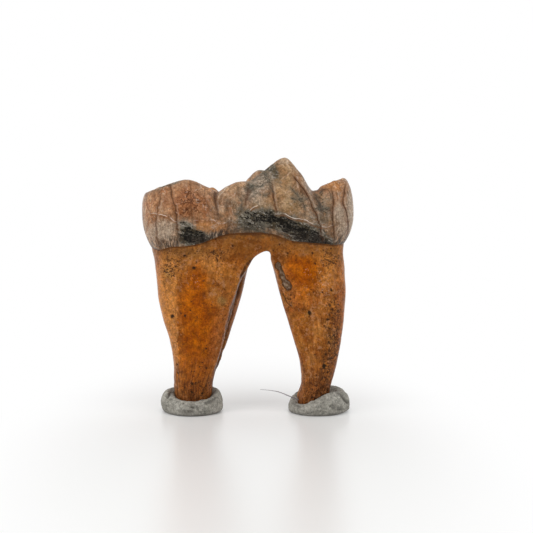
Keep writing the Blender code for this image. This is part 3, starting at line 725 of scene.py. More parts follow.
def wall_rings(outline, outward, rim, neck):
    """Rings of the crown's wall, from the enamel edge over the widest outline up to the cusps."""
    inset = np.linalg.norm(outline - rim[:, :2], axis=1)
    power = 1.55 + 2.0 * np.exp(-inset / 1.2)
    rings = []
    for a in np.linspace(0.0, 1.0, LOWER_ROWS, endpoint=False):
        offset = NECK_INSET * (1.0 - a) ** NECK_TURN
        z = neck + (BULGE_HEIGHT - neck) * a
        rings.append(np.column_stack([outline - outward * offset, z]))
    for step in np.linspace(0.0, 1.0, UPPER_ROWS):
        up = 1.0 - (1.0 - step) ** CUSP_CROWDING
        out = (1.0 - up**power) ** (1.0 / 1.5)
        xy = rim[:, :2] + (outline - rim[:, :2]) * out[:, None]
        z = BULGE_HEIGHT + (rim[:, 2] - BULGE_HEIGHT) * up
        rings.append(np.column_stack([xy, z]))
    for ring in rings:
        ring[:, :2] -= outward * side_valley_depth(ring)[:, None]
    return rings


def valley_floor(rim):
    """The place on the valley floor that the basin runs down to from each point of the rim."""
    mirror = (-np.arange(len(rim))) % len(rim)
    middle = 0.5 * (rim[:, 0] + rim[mirror, 0])
    valley = np.array(VALLEY)
    middle = np.clip(middle * (1.0 - 0.11 * (middle / 14.0) ** 2), valley[0, 0], valley[-1, 0])
    return np.column_stack([
        middle,
        curve(valley[:, 0], valley[:, 1], middle),
        curve(valley[:, 0], valley[:, 2], middle, flat=True),
    ])


def crown(surface, outline, outward, rim, neck):
    """The enamel cap, from its edge over the cusps down to the valley floor; returns its lowest ring."""
    rings = wall_rings(outline, outward, rim, neck)
    floor = valley_floor(rim)
    top = rings[-1]
    for f in np.linspace(0.0, 1.0, BASIN_ROWS, endpoint=False)[1:]:
        xy = top[:, :2] + (floor[:, :2] - top[:, :2]) * f
        z = top[:, 2] - (top[:, 2] - floor[:, 2]) * smoothstep(f)
        rings.append(np.column_stack([xy, z]))
    indices = [surface.add(ring, np.column_stack([outline, ring[:, 2]]), neck) for ring in rings]
    for lower, upper in zip(indices[:-1], indices[1:]):
        surface.bridge(lower, upper)
    first = slice(0, len(rim) // 2 + 1)
    line = surface.add(floor[first], np.column_stack([outline, floor[:, 2]])[first], neck[first])
    spine = line + line[-2:0:-1]
    surface.bridge(indices[-1], spine)
    return indices[0]


def extents(table, z):
    """Outer edge, inner edge, cheek side and tongue side of a root at each height."""
    table = np.array(table)[::-1]
    return [curve(table[:, 0], table[:, c], z, flat=True) for c in (1, 2, 3, 4)]


def root_section(table, z, angles, inner_sign, square, groove, lean):
    """Closed section of a root; angles run round it, inner_sign points at the other root."""
    outer, inner, cheek, tongue = extents(table, z)
    centre_x, half_x = (outer + inner) / 2.0, np.abs(inner - outer) / 2.0
    centre_y, half_y = (cheek + tongue) / 2.0, (tongue - cheek) / 2.0
    c, s = np.cos(angles), np.sin(angles)
    radius = (np.abs(c) ** square + np.abs(s) ** square) ** (-1.0 / square)
    u, v = radius * c, radius * s
    facing = smoothstep(1.3 * u * inner_sign)
    away = smoothstep(-1.3 * u * inner_sign)
    dip = groove * bell(v + 0.05, 0.30)
    step = 2.0 * lean * np.clip(0.45 - v, 0.0, 1.0)
    back = 0.4 * groove * bell(v, 0.4)
    x = half_x * u - inner_sign * facing * (dip + step) + inner_sign * away * back
    reach = np.max(x * inner_sign / half_x)
    x = np.where(x * inner_sign > 0.0, x / reach, x)
    return np.column_stack([centre_x + x, centre_y + half_y * v, z])


def root(surface, top, table, inner_sign, grooves, leans, heights):
    """One root, hung from the closed ring of points `top`."""
    start = np.array([surface.points[i] for i in top])
    neck = np.array([surface.neck[i] for i in top])
    x0 = 0.5 * (start[:, 0].min() + start[:, 0].max())
    y0 = 0.5 * (start[:, 1].min() + start[:, 1].max())
    half_x = 0.5 * np.ptp(start[:, 0])
    half_y = 0.5 * np.ptp(start[:, 1])
    first = np.unwrap(np.arctan2((start[:, 1] - y0) / half_y, (start[:, 0] - x0) / half_x))
    turn = math.copysign(2.0 * math.pi, first[-1] - first[0])
    even = first[0] + turn * np.arange(len(top)) / len(top)
    even += np.mean(first - even)
    previous = top
    for height in heights:
        down = (ARCH_HEIGHT - height) / (ARCH_HEIGHT - TIP_HEIGHT)
        z = height + (start[:, 2] - ARCH_HEIGHT) * (1.0 - smoothstep(down / LEVEL_BY))
        angles = first + (even - first) * smoothstep(down / TURNED_BY)
        square = ROOT_SQUARENESS + TOP_SQUARENESS * (1.0 - smoothstep(down / ROUNDED_BY))
        groove = curve(*grooves, [height], flat=True)[0]
        lean = curve(*leans, [height], flat=True)[0]
        ring = root_section(table, z, angles, inner_sign, square, groove, lean)
        outer, inner, cheek, tongue = extents(table, z)
        guide_x = (outer + inner) / 2.0 + (start[:, 0] - x0) / half_x * np.abs(inner - outer) / 2.0
        guide_y = (cheek + tongue) / 2.0 + (start[:, 1] - y0) / half_y * (tongue - cheek) / 2.0
        blend = smoothstep(down / SHAPED_BY)
        ring[:, 0] = guide_x * (1.0 - blend) + ring[:, 0] * blend
        ring[:, 1] = guide_y * (1.0 - blend) + ring[:, 1] * blend
        growth = np.column_stack([x0 + 5.0 * np.cos(angles), 5.0 * np.sin(angles), ring[:, 2]])
        indices = surface.add(ring, growth, neck)
        surface.bridge(indices, previous)
        previous = indices
    root_tip(surface, previous, neck)


def root_tip(surface, previous, neck):
    """Closes a root below its last ring."""
    last = np.array([surface.points[i] for i in previous])
    middle = last.mean(axis=0)
    for share in TIP_RINGS:
        ring = middle + (last - middle) * share
        ring[:, 2] = TIP_HEIGHT - TIP_SAG * (1.0 - share)
        indices = surface.add(ring, ring, neck)
        surface.bridge(indices, previous)
        previous = indices
    surface.close(previous, (middle[0], middle[1], TIP_HEIGHT - TIP_SAG))


def trunk(surface, outline, outward, neck, edge):
    """The trunk below the enamel edge, drawn in and down towards the arch; returns its lowest ring."""
    near_arch = bell(outline[:, 0] - ARCH_X, ARCH_HALF_WIDTH)
    inset = NECK_INSET + ENAMEL_LEDGE
    grown = outline - outward * inset
    under = neck - ENAMEL_LIP
    base = (neck - TRUNK_DROP) * (1.0 - near_arch) + ARCH_HEIGHT * near_arch
    previous = edge
    for down in (0.0, 0.25, 0.5, 0.75, 1.0):
        rounding = inset + ARCH_INSET * near_arch * smoothstep(down)
        z = under + (base - under) * down
        ring = np.column_stack([outline - outward * rounding[:, None], z])
        indices = surface.add(ring, np.column_stack([grown, z]), neck)
        surface.bridge(indices, previous)
        previous = indices
    return previous


def arch_line(surface, start, end):
    """The line along the arch, from the tongue side to the cheek side."""
    across = np.linspace(0.0, 1.0, ARCH_POINTS + 2)[1:-1]
    arch = start + (end - start) * across[:, None]
    arch[:, 0] = ARCH_X
    arch[:, 2] = ARCH_HEIGHT - ARCH_SAG + ARCH_RISE * np.sin(np.pi * across)
    return surface.add(arch, arch, ARCH_HEIGHT + ARCH_BELOW_NECK)


def molar_surface():
    """The whole tooth, with the counts of its enamel points and enamel faces, which come first."""
    surface = Surface()
    outline, outward, rim = station_curves(STATIONS)
    neck = neck_heights(outline)
    edge = crown(surface, outline, outward, rim, neck)
    enamel_points, enamel_faces = len(surface.points), len(surface.faces)

    lowest_ring = trunk(surface, outline, outward, neck, edge)
    lowest = np.array([surface.points[i] for i in lowest_ring])
    half = STATIONS // 2
    cheek = int(np.argmin(np.abs(lowest[:half, 0] - ARCH_X)))
    tongue = half + int(np.argmin(np.abs(lowest[half:, 0] - ARCH_X)))
    arch = arch_line(surface, lowest[tongue], lowest[cheek])
    distal_top = lowest_ring[cheek : tongue + 1] + arch
    mesial_top = lowest_ring[tongue:] + lowest_ring[: cheek + 1] + arch[::-1]
    heights = TIP_HEIGHT + (ROOT_TOP - TIP_HEIGHT) * np.linspace(1.0, 0.0, ROOT_ROWS) ** 1.12
    root(surface, distal_top, DISTAL_ROOT, 1.0, DISTAL_GROOVE, DISTAL_LEAN, heights)
    root(surface, mesial_top, MESIAL_ROOT, -1.0, MESIAL_GROOVE, MESIAL_LEAN, heights)
    return surface, enamel_points, enamel_faces


def corner_table(faces):
    """Faces as rows of four corners; a triangle repeats its last one."""
    return np.array([face if len(face) == 4 else (*face, face[-1]) for face in faces])


def normals_of(points, corners):
    diagonal = points[corners[:, 2]] - points[corners[:, 0]]
    other = points[corners[:, 3]] - points[corners[:, 1]]
    face_normal = np.cross(diagonal, other)
    total = np.zeros_like(points)
    for c in range(4):
        np.add.at(total, corners[:, c], face_normal)
    return total / np.maximum(np.linalg.norm(total, axis=1), 1e-12)[:, None]


def edge_pairs(corners):
    """Both directions of every face edge, once for each face that has it."""
    ring = np.concatenate([corners[:, [a, (a + 1) % 4]] for a in range(4)])
    ring = ring[ring[:, 0] != ring[:, 1]]
    return np.concatenate([ring, ring[:, ::-1]])


def neighbour_mean(values, pairs, count):
    total = np.zeros((count,) + values.shape[1:])
    np.add.at(total, pairs[:, 0], values[pairs[:, 1]])
    share = np.bincount(pairs[:, 0], minlength=count).reshape((-1,) + (1,) * (values.ndim - 1))
    return total / np.maximum(share, 1)


def bend(points, normals, pairs, rounds=6):
    """Above 0 on ridges and edges, below 0 in grooves, smoothed over a few points."""
    lift = points - neighbour_mean(points, pairs, len(points))
    value = np.einsum("ij,ij->i", lift, normals)
    for _ in range(rounds):
        value = 0.5 * value + 0.5 * neighbour_mean(value, pairs, len(points))
    return value


def line_marks(seen, lines, weight):
    """Signed distance to the nearest line and the power of that line, and how deep all lines cut together."""
    nearest = np.full(len(seen), 1e9)
    signed = np.zeros(len(seen))
    power = np.zeros(len(seen))
    cut = np.zeros(len(seen))
    for depth, half_width, darkness, pixels in lines.values():
        distance, along = line_distance(seen, pixels)
        taper = tapered(along, 0.10, 0.14)
        cut += 0.65 * depth * taper * bell(distance, half_width) * weight
        mine = darkness * (0.35 + 0.65 * taper) * bell(distance, 0.45) * weight
        nearer = np.abs(distance) < nearest
        nearest = np.where(nearer, np.abs(distance), nearest)
        signed = np.where(nearer, distance, signed)
        power = np.where(nearer, mine, power)
    return signed, power, cut


def random_pores(points, density, count, seed, low, high):
    """Depth in mm of round pores scattered where the density is high, with radii from low to high."""
    draw = np.random.default_rng(seed)
    chance = np.clip(density, 0.0, None)
    chosen = draw.choice(len(points), size=count, replace=False, p=chance / chance.sum())
    radius = draw.uniform(low, high, count) * draw.uniform(0.6, 1.0, count)
    depth = np.zeros(len(points))
    for centre, size in zip(points[chosen], radius):
        near = np.abs(points[:, 2] - centre[2]) < 3.0 * size
        distance = np.linalg.norm(points[near] - centre, axis=1)
        depth[near] = np.maximum(depth[near], size * bell(distance, size))
    return depth


def mesh_object(name, points, faces, fields=None):
    """A smooth mesh of points in mm; the points past the end of a field are given 0."""
    mesh = bpy.data.meshes.new(name)
    mesh.from_pydata((np.asarray(points) * MM).tolist(), [], faces)
    mesh.polygons.foreach_set("use_smooth", [True] * len(mesh.polygons))
    for field, values in (fields or {}).items():
        full = np.zeros((len(points), *values.shape[1:]), np.float32)
        full[: len(values)] = values
        kind, part = ("FLOAT_VECTOR", "vector") if values.ndim == 2 else ("FLOAT", "value")
        mesh.attributes.new(field, kind, "POINT").data.foreach_set(part, full.ravel())
    made = bpy.data.objects.new(name, mesh)
    bpy.context.scene.collection.objects.link(made)
    return made


def split_materials(made, first):
    """The faces from this one on take the second material."""
    kinds = np.zeros(len(made.data.polygons), np.int32)
    kinds[first:] = 1
    made.data.polygons.foreach_set("material_index", kinds)


def soften_neck(points, drop, is_enamel, pairs):
    """Smooths the roots just below the enamel edge, where they are joined."""
    held = smoothstep((drop - SOFT_FROM) / SOFT_RISE) * smoothstep((SOFT_TO - drop) / SOFT_FADE)
    softened = np.where(is_enamel, 0.0, held)
    for _ in range(SOFTENING_ROUNDS):
        moved = neighbour_mean(points, pairs, len(points)) - points
        points = points + 0.5 * softened[:, None] * moved
    return points


def basin_share(is_enamel, enamel_points):
    """0 on the crown's walls, rising to 1 on the valley floor between the cusps."""
    row = np.arange(len(is_enamel)) // STATIONS
    wall_rows = LOWER_ROWS + UPPER_ROWS
    share = np.where(is_enamel, np.clip((row - wall_rows + 1) / BASIN_ROWS, 0.0, 1.0), 0.0)
    share[(wall_rows + BASIN_ROWS - 1) * STATIONS : enamel_points] = 1.0
    return share


def patch_fields(seen, cheek, is_enamel, outer_wall):
    """How strong each kind of patch is at each point."""
    fields = {}
    for name in CHEEK_PATCHES:
        total = np.zeros(len(seen))
        for side, patches in ((cheek, CHEEK_PATCHES), (1.0 - cheek, TONGUE_PATCHES)):
            for spot in patches[name]:
                total += side * patch(seen, spot)
        fields[name] = np.clip(total, 0.0, 1.4)
    for name in ("stain", "marble", "rust", "pale"):
        fields[name] *= np.where(is_enamel, 0.25 + 0.75 * outer_wall, 1.0)
    strip, along = line_distance(seen, ROOT_FOLDS["strip_edge"][2], 40.0)
    held = tapered(along, 0.1, 0.3)
    fields["gold"] += 0.75 * cheek * held * smoothstep(strip / 0.20 + 0.5) * (strip < 40.0)
    return fields


def line_fields(name, seen, cheek_lines, tongue_lines, cheek, wall):
    """Fields of the distance to the nearest line and of its power, and how deep all lines cut together."""
    signed, power, cut = line_marks(seen, cheek_lines, cheek * wall)
    if tongue_lines:
        tongue_signed, tongue_power, tongue_cut = line_marks(seen, tongue_lines, (1.0 - cheek) * wall)
        signed = np.where(cheek > 0.5, signed, tongue_signed)
        power = np.where(cheek > 0.5, power, tongue_power)
        cut = cut + tongue_cut
    return {f"{name}_side": np.clip(signed, -3.0, 3.0), f"{name}_power": power}, cut


def uncut(lines):
    """Lines that only colour, in the terms of the cracks."""
    return {name: (0.0, 1.0, power, pixels) for name, (power, pixels) in lines.items()}


def make_molar():
    """Carves the fine tooth and writes the fields that its two materials read."""
    surface, enamel_points, enamel_faces = molar_surface()
    points = np.array(surface.points) - np.array(CROWN_MIDDLE)
    growth = np.array(surface.growth)
    corners = corner_table(surface.faces)
    pairs = edge_pairs(corners)
    is_enamel = np.arange(len(points)) < enamel_points
    points = soften_neck(points, np.array(surface.neck) - points[:, 2], is_enamel, pairs)
    normals = normals_of(points, corners)
    wander = np.column_stack([rough_noise(points, 0.9, seed, 3) for seed in (301, 302)])
    seen = seen_at(points) + MARK_WANDER * wander
    cheek = smoothstep(0.5 - 1.6 * normals[:, 1])
    cheek_wide = smoothstep(0.9 - 1.6 * normals[:, 1])
    into_basin = basin_share(is_enamel, enamel_points)
    outer_wall = 1.0 - smoothstep(into_basin / 0.20)
    wall = outer_wall * is_enamel

    fields = patch_fields(seen, cheek, is_enamel, outer_wall)
    cracks, crack_cut = line_fields("crack", seen, CHEEK_CRACKS, TONGUE_CRACKS, cheek, wall)
    veins, _ = line_fields("vein", seen, uncut(CHEEK_VEINS), {}, cheek, wall)
    flakes, _ = line_fields("flake", seen, uncut(CHEEK_FLAKES), uncut(TONGUE_FLAKES), cheek, wall)
    # Painted shade in the groove between the distal root's lobes.
    groove_side, _ = line_distance(seen, ROOT_FOLDS["lobe_groove"][2])
    groove_shade = smoothstep(1.25 - np.abs(groove_side + 0.06) / 0.36) * cheek_wide
    crown_field = enamel_relief(points, growth, into_basin, seen, cheek) - crack_cut
    crown_field += folds_height(seen, CHEEK_FOLDS) * cheek * outer_wall
    root_field, scar_side, pores = root_relief(points, growth, fields["dirt"], seen, cheek, is_enamel)
    root_field += folds_height(seen, ROOT_FOLDS) * cheek_wide
    points = points + normals * np.where(is_enamel, crown_field, root_field)[:, None]

    normals = normals_of(points, corners)
    fields |= cracks | veins | flakes
    fields |= {"scar": scar_side, "pore_shade": pores, "groove_shade": groove_shade, "basin": into_basin, "growth": growth}
    fields["ridge"] = bend(points, normals, pairs, 2) * RIDGE_GAIN
    fields["form"] = bend(points, normals, pairs, 24) * FORM_GAIN
    fields["above_neck"] = points[:, 2] - np.array(surface.neck)
    made = mesh_object("molar_surface", points, surface.faces, fields)
    split_materials(made, enamel_faces)
    return made


def enamel_relief(points, growth, into_basin, seen, cheek):
    """Outward relief of the enamel in mm: soft flutes, low swells, flaked steps and the basin's wrinkles."""
    flutes = relief("flutes", growth)
    swells = relief("enamel_swells", points)
    rings = relief("growth_rings", growth)
    inside = smoothstep(into_basin / 0.12) * (1.0 - 0.35 * smoothstep((into_basin - 0.8) / 0.2))
    wrinkles = relief("basin_folds", growth) + relief("basin_wrinkles", points)
    step = np.zeros(len(points))
    for _, pixels in CHEEK_FLAKES.values():
        distance, along = line_distance(seen, pixels)
        held = tapered(along, 0.12, 0.12)
        below = smoothstep(distance / 0.10 + 0.5) * np.exp(-np.clip(distance, 0.0, None) / FLAKE_FADE)
        step -= FLAKE_STEP * held * below * cheek
    return flutes + swells + rings + wrinkles * inside + step


def root_relief(points, growth, dirt, seen, cheek, is_enamel):
    """Outward relief of the roots in mm, the scar's signed distance, and the painted shade of the pores and
    the crack, from how deep they are cut.
    """
    low = smoothstep((TIP_ZONE - points[:, 2]) / TIP_FADE)
    grain = relief("root_grain", growth, ROOT_GRAIN + TIP_GRAIN * low)
    swells = relief("root_swells", points)
    rough_tip = relief("rough_tips", points, low)
    density = (0.10 + dirt + 0.5 * low) * (~is_enamel) * (points[:, 2] > PUTTY_COVER)
    scattered = random_pores(points, density, *ROOT_PORES)
    large = np.zeros(len(points))
    for u, v, radius, depth in CHEEK_PORES:
        distance = np.hypot(seen[:, 0] - u, seen[:, 1] - v) / radius
        large = np.maximum(large, cheek * depth * np.exp(-(distance**2)))
    distance, along = line_distance(seen, SCAR)
    width = SCAR_HALF_WIDTH * (0.72 + 0.50 * along + 0.20 * np.cos(14.0 * along))
    scar_side = np.where(cheek > 0.5, np.abs(distance) - width, 5.0)
    rim = bell(scar_side, 0.12)
    filled = smoothstep(-scar_side / 0.2)
    scar = (-SCAR_RIM * rim + SCAR_FILLING * filled) * (cheek > 0.5)
    crack, _ = line_distance(seen, ROOT_CRACK)
    crack_cut = ROOT_CRACK_DEPTH * bell(crack, ROOT_CRACK_HALF_WIDTH) * (cheek > 0.5)
    # Painted shade in the pores and the crack, darker the deeper they are cut.
    pores = sum(np.clip(cut * PORE_SHADE, 0.0, 1.0) for cut in (scattered + large, crack_cut))
    bumps = grain + swells + rough_tip
    return bumps - PORE_SHARE * scattered - large + scar - crack_cut, scar_side, pores


class Nodes:
    """Short names for the shader nodes of one material, or of the world, and the coat painted so far."""

    def __init__(self, name, owners=bpy.data.materials):
        self.owner = owners.new(name)
        self.owner.use_nodes = True
        self.tree = self.owner.node_tree
        self.noises = 0
        self.coat = None

    def new(self, kind, inputs=None, **settings):
        """A node with the given settings; each input takes a value or another node's output."""
        node = self.tree.nodes.new(kind)
        for setting, value in settings.items():
            setattr(node, setting, value)
        self.fill(node, inputs or {})
        return node

    def fill(self, node, inputs):
        for socket, value in inputs.items():
            if isinstance(value, bpy.types.NodeSocket):
                self.tree.links.new(value, node.inputs[socket])
            elif value is not None:
                node.inputs[socket].default_value = value

    def field(self, name, output="Fac"):
        return self.new("ShaderNodeAttribute", attribute_name=name).outputs[output]

    def vector(self, operation, first, second=None, scale=None):
        inputs = {0: first, 1: second, "Scale": scale}
        return self.new("ShaderNodeVectorMath", inputs, operation=operation).outputs[0]

    def place(self):
        """The point on the object, in mm."""
        return self.vector("SCALE", self.new("ShaderNodeTexCoord").outputs["Object"], scale=1.0 / MM)

    def stretched(self, vector, sizes):
        """The vector divided by a feature size in mm along each axis."""
        return self.vector("DIVIDE", vector, sizes)

    def height(self, vector):
        return self.new("ShaderNodeSeparateXYZ", {0: vector}).outputs["Z"]

    def noise(self, vector, size, detail=4.0, roughness=0.55, distortion=0.0):
        return self.noise_node(vector, size, detail, roughness, distortion).outputs["Fac"]

    def noise_node(self, vector, size, detail, roughness, distortion):
        """Each call gets its own pattern."""
        self.noises += 1
        inputs = {"Vector": vector, "W": 5.3 * self.noises, "Scale": 1.0 / size}
        inputs |= {"Detail": detail, "Roughness": roughness, "Distortion": distortion}
        return self.new("ShaderNodeTexNoise", inputs, noise_dimensions="4D")

    def warped(self, vector, size, reach):
        """The vector moved about by noise, by up to about reach mm."""
        noise = self.noise_node(vector, size, 3.0, 0.6, 0.0).outputs["Color"]
        centred = self.vector("SUBTRACT", noise, (0.5, 0.5, 0.5))
        return self.vector("ADD", vector, self.vector("SCALE", centred, scale=2.0 * reach))

    def cells(self, vector, size, feature="F1"):
        inputs = {"Vector": vector, "Scale": 1.0 / size}
        return self.new("ShaderNodeTexVoronoi", inputs, feature=feature).outputs["Distance"]

    def veins(self, vector, size, width):
        """1 along the borders of cells about as large as size, in mm, and 0 inside them."""
        return self.ramp(self.cells(vector, size, "DISTANCE_TO_EDGE"), width, 0.0)

    def math(self, operation, a, b=None, clamp=False):
        return self.new("ShaderNodeMath", {0: a, 1: b}, operation=operation, use_clamp=clamp).outputs[0]

    def times(self, *values):
        total = values[0]
        for value in values[1:]:
            total = self.math("MULTIPLY", total, value)
        return total

    def plus(self, *values):
        total = values[0]
        for value in values[1:]:
            total = self.math("ADD", total, value)
        return total

    def centred(self, value):
        """The value less a half, which puts the middle of a noise at 0."""
        return self.math("SUBTRACT", value, 0.5)

    def away(self, value, middle):
        """How far the value is from the middle."""
        return self.math("ABSOLUTE", self.math("SUBTRACT", value, middle))

    def mapped(self, value, low, high, at_low, at_high, way="SMOOTHSTEP"):
        """The value carried over from the range low to high to the range at_low to at_high."""
        inputs = {"Value": value, "From Min": low, "From Max": high, "To Min": at_low, "To Max": at_high}
        return self.new("ShaderNodeMapRange", inputs, interpolation_type=way).outputs["Result"]

    def ramp(self, value, low, high):
        """0 at low, 1 at high, smooth between; low may be above high."""
        return self.mapped(value, low, high, 0.0, 1.0)

    def edged(self, name, wobble, low, high):
        """A patch field with a ragged edge: noise moves its border in and out."""
        wobble = self.times(self.centred(wobble), EDGE_WOBBLE)
        return self.ramp(self.plus(self.field(name), wobble), low, high)

    def mix(self, share, first, second):
        """A colour between two others; a colour without a node is given as red, green and blue."""
        node = self.new("ShaderNodeMix", data_type="RGBA")
        colours = [(*value, 1.0) if isinstance(value, tuple) else value for value in (first, second)]
        sockets = [i for i, socket in enumerate(node.inputs) if socket.type == "RGBA"]
        self.fill(node, {"Factor": share, **dict(zip(sockets, colours))})
        return next(socket for socket in node.outputs if socket.type == "RGBA")

    def paint(self, over, *shares):
        """Lays a colour over the coat so far, as far as the product of the shares says."""
        self.coat = self.mix(self.times(*shares), self.coat, over)

    def tone(self, value, low, high, darkest, brightest):
        """Makes the coat darker where the value is near low and brighter where it is near high."""
        strength = self.mapped(value, low, high, darkest, brightest, "LINEAR")
        self.coat = self.vector("SCALE", self.coat, scale=strength)

    def bump(self, height, distance, strength=1.0, normal=None):
        inputs = {"Height": height, "Distance": distance * MM, "Strength": strength, "Normal": normal}
        return self.new("ShaderNodeBump", inputs).outputs["Normal"]

    def finish(self, colour, roughness, normal=None, specular=None, scatter=(None, None, None)):
        """Sets up the shader; scatter is the weight, radius and scale in mm of light under the skin."""
        weight, radius, scale = scatter
        shader = self.tree.nodes["Principled BSDF"]
        self.fill(shader, {
            "Base Color": colour,
            "Roughness": roughness,
            "Normal": normal,
            "Specular IOR Level": specular,
            "Subsurface Weight": weight,
            "Subsurface Radius": radius,
            "Subsurface Scale": scale and scale * MM,
        })
        return shader.outputs["BSDF"]

    def join(self, share, first, second, output):
        """Mixes two shaders on their way to the output node."""
        blend = self.new("ShaderNodeMixShader", {"Fac": share, 1: first, 2: second})
        self.fill(self.tree.nodes[output], {"Surface": blend.outputs["Shader"]})


class Patterns:
    """Named patterns and fields that the layers of one material share."""


def enamel_patterns(n):
    """Noises along the growth and in space that the enamel's layers share."""
    p = Patterns()
    p.place = n.place()
    p.growth = n.field("growth", "Vector")
    p.loose = n.warped(p.place, 1.6, 0.7)
    p.streak = n.noise(n.stretched(p.growth, (0.42, 0.42, 3.6)), 1.0, 4.0, 0.6)
    p.fine_streak = n.noise(n.stretched(p.growth, (0.17, 0.17, 1.3)), 1.0, 3.0, 0.6)
    p.cloud = n.noise(p.place, 2.6, 6.0, 0.70, 0.6)
    p.blotch = n.noise(p.loose, 0.95, 6.0, 0.72)
    p.grain = n.noise(p.place, 0.30, 4.0, 0.70)
    p.swells = n.noise(p.loose, 1.25, 3.0, 0.5)
    return p


def enamel_ground(n, p):
    """Brown and beige clouds, streaks along the growth and warm flanks."""
    n.coat = n.mix(n.ramp(p.cloud, 0.40, 0.60), (0.215, 0.108, 0.052), (0.420, 0.262, 0.150))
    n.paint((0.510, 0.362, 0.235), n.ramp(p.swells, 0.52, 0.68), 0.50)
    n.paint((0.150, 0.078, 0.038), n.ramp(p.swells, 0.46, 0.32), 0.50)
    n.paint((0.480, 0.330, 0.220), n.ramp(p.streak, 0.50, 0.66), 0.32)
    n.paint((0.140, 0.074, 0.040), n.ramp(p.streak, 0.47, 0.33), 0.36)
    n.tone(p.blotch, 0.38, 0.62, 0.54, 1.44)
    everywhere = n.times(n.ramp(n.noise(p.loose, 1.3, 5.0, 0.68), 0.50, 0.60), 0.40)
    warm = n.plus(everywhere, n.times(n.field("warm"), 0.50))
    warm_colour = n.mix(n.ramp(p.blotch, 0.42, 0.58), (0.300, 0.108, 0.040), (0.500, 0.240, 0.108))
    n.paint(warm_colour, warm)


def enamel_swirls(n, p):
    """Rust-red swirls and grey marbled blots."""
    rust = n.edged("rust", p.cloud, 0.10, 0.75)
    n.paint((0.285, 0.100, 0.034), rust, 0.60)
    swirl = n.noise(n.warped(p.place, 0.7, 0.25), 0.62, 2.0, 0.5)
    swirl_line = n.ramp(n.away(swirl, 0.5), 0.075, 0.015)
    rust_line = n.times(rust, swirl_line, n.ramp(p.blotch, 0.38, 0.52))
    n.paint((0.085, 0.024, 0.008), rust_line, 0.95)

    p.marble = n.field("marble")
    marbling = n.noise(n.warped(p.place, 0.7, 0.35), 0.80, 4.0, 0.55)
    p.marble_line = n.ramp(n.away(marbling, 0.5), 0.042, 0.010)
    marble_blot = n.ramp(n.noise(n.warped(p.place, 0.9, 0.5), 0.80, 4.0, 0.6), 0.47, 0.59)
    n.paint((0.165, 0.153, 0.122), p.marble, marble_blot, 0.55)


def enamel_patches(n, p):
    """Orange, honey and pale patches."""
    orange = n.edged("orange", p.blotch, 0.15, 0.85)
    n.paint((0.470, 0.200, 0.062), orange, 0.75)
    honey = n.edged("honey", p.blotch, 0.10, 0.85)
    honey_colour = n.mix(n.ramp(p.swells, 0.40, 0.60), (0.290, 0.170, 0.075), (0.470, 0.315, 0.165))
    n.paint(honey_colour, honey, 0.70)
    pale = n.edged("pale", p.blotch, 0.15, 0.85)
    n.paint((0.425, 0.335, 0.250), pale, 0.75)
    n.paint((0.110, 0.076, 0.052), pale, n.ramp(p.fine_streak, 0.54, 0.64), 0.60)
    n.paint((0.620, 0.540, 0.450), pale, n.ramp(p.grain, 0.54, 0.66), 0.40)


def enamel_veins(n, p):
    """Dark and light veins of old cracks, with fine grain and pepper."""
    vein = n.veins(n.warped(p.place, 0.8, 0.55), 1.5, 0.055)
    n.paint((0.110, 0.058, 0.032), vein, n.ramp(p.cloud, 0.45, 0.58), 0.55)
    fine_vein = n.veins(n.warped(p.place, 0.4, 0.30), 0.62, 0.075)
    n.paint((0.125, 0.066, 0.036), fine_vein, n.ramp(p.blotch, 0.46, 0.60), 0.45)
    light_vein = n.veins(n.warped(p.loose, 0.6, 0.4), 2.1, 0.040)
    n.paint((0.640, 0.500, 0.390), light_vein, n.ramp(p.streak, 0.45, 0.60), 0.50)
    n.tone(p.grain, 0.39, 0.61, 0.72, 1.28)
    pepper = n.ramp(n.noise(p.place, 0.22, 2.0, 0.5), 0.62, 0.69)
    n.paint((0.085, 0.042, 0.022), pepper, n.ramp(p.cloud, 0.40, 0.60), 0.70)


def enamel_stain(n, p):
    """The black manganese stain: grey haze, sloping black clumps, pale flecks and marble lines."""
    stain = n.field("stain")
    stain_drift = n.noise(p.loose, 1.5, 6.0, 0.75, 0.5)
    slope = {"Vector": n.warped(p.place, 1.2, 0.35), "Angle": math.radians(-STAIN_SLOPE)}
    turned = n.new("ShaderNodeVectorRotate", slope, rotation_type="Y_AXIS").outputs[0]
    swept = n.noise(n.stretched(turned, (1.15, 0.6, 0.34)), 1.0, 5.0, 0.68)
    pale_sweep = n.noise(n.stretched(turned, (1.60, 0.6, 0.26)), 1.0, 4.0, 0.62)
    clump = n.noise(n.warped(p.place, 0.5, 0.25), 0.34, 6.0, 0.80)
    stain_clump = n.plus(n.times(clump, 0.55), n.times(swept, 0.45))
    drift = n.centred(n.plus(n.times(stain_drift, 0.6), n.times(swept, 0.4)))
    p.haze = n.times(n.ramp(n.plus(stain, n.times(drift, 2.0)), 0.06, 0.66), n.ramp(p.marble, 1.7, 0.2))
    depth = n.ramp(n.plus(stain, n.times(drift, 1.6)), 0.30, 1.25)
    p.clumps = n.ramp(n.plus(stain_clump, n.times(depth, 0.150)), 0.505, 0.645)
    grey = n.mix(n.ramp(stain_drift, 0.42, 0.58), (0.080, 0.058, 0.030), (0.180, 0.160, 0.124))
    stain_colour = n.mix(p.clumps, grey, (0.0060, 0.0045, 0.0030))
    n.paint(stain_colour, p.haze)
    dust = n.noise(n.warped(p.place, 0.5, 0.25), 0.24, 4.0, 0.7)
    fleck = n.ramp(n.plus(n.times(dust, 0.50), n.times(pale_sweep, 0.50)), 0.53, 0.585)
    n.paint((0.385, 0.345, 0.285), p.haze, fleck, n.ramp(depth, 1.30, 0.45), 0.90)
    n.paint((0.040, 0.033, 0.022), p.marble, p.marble_line, n.ramp(p.blotch, 0.38, 0.50), 0.90)


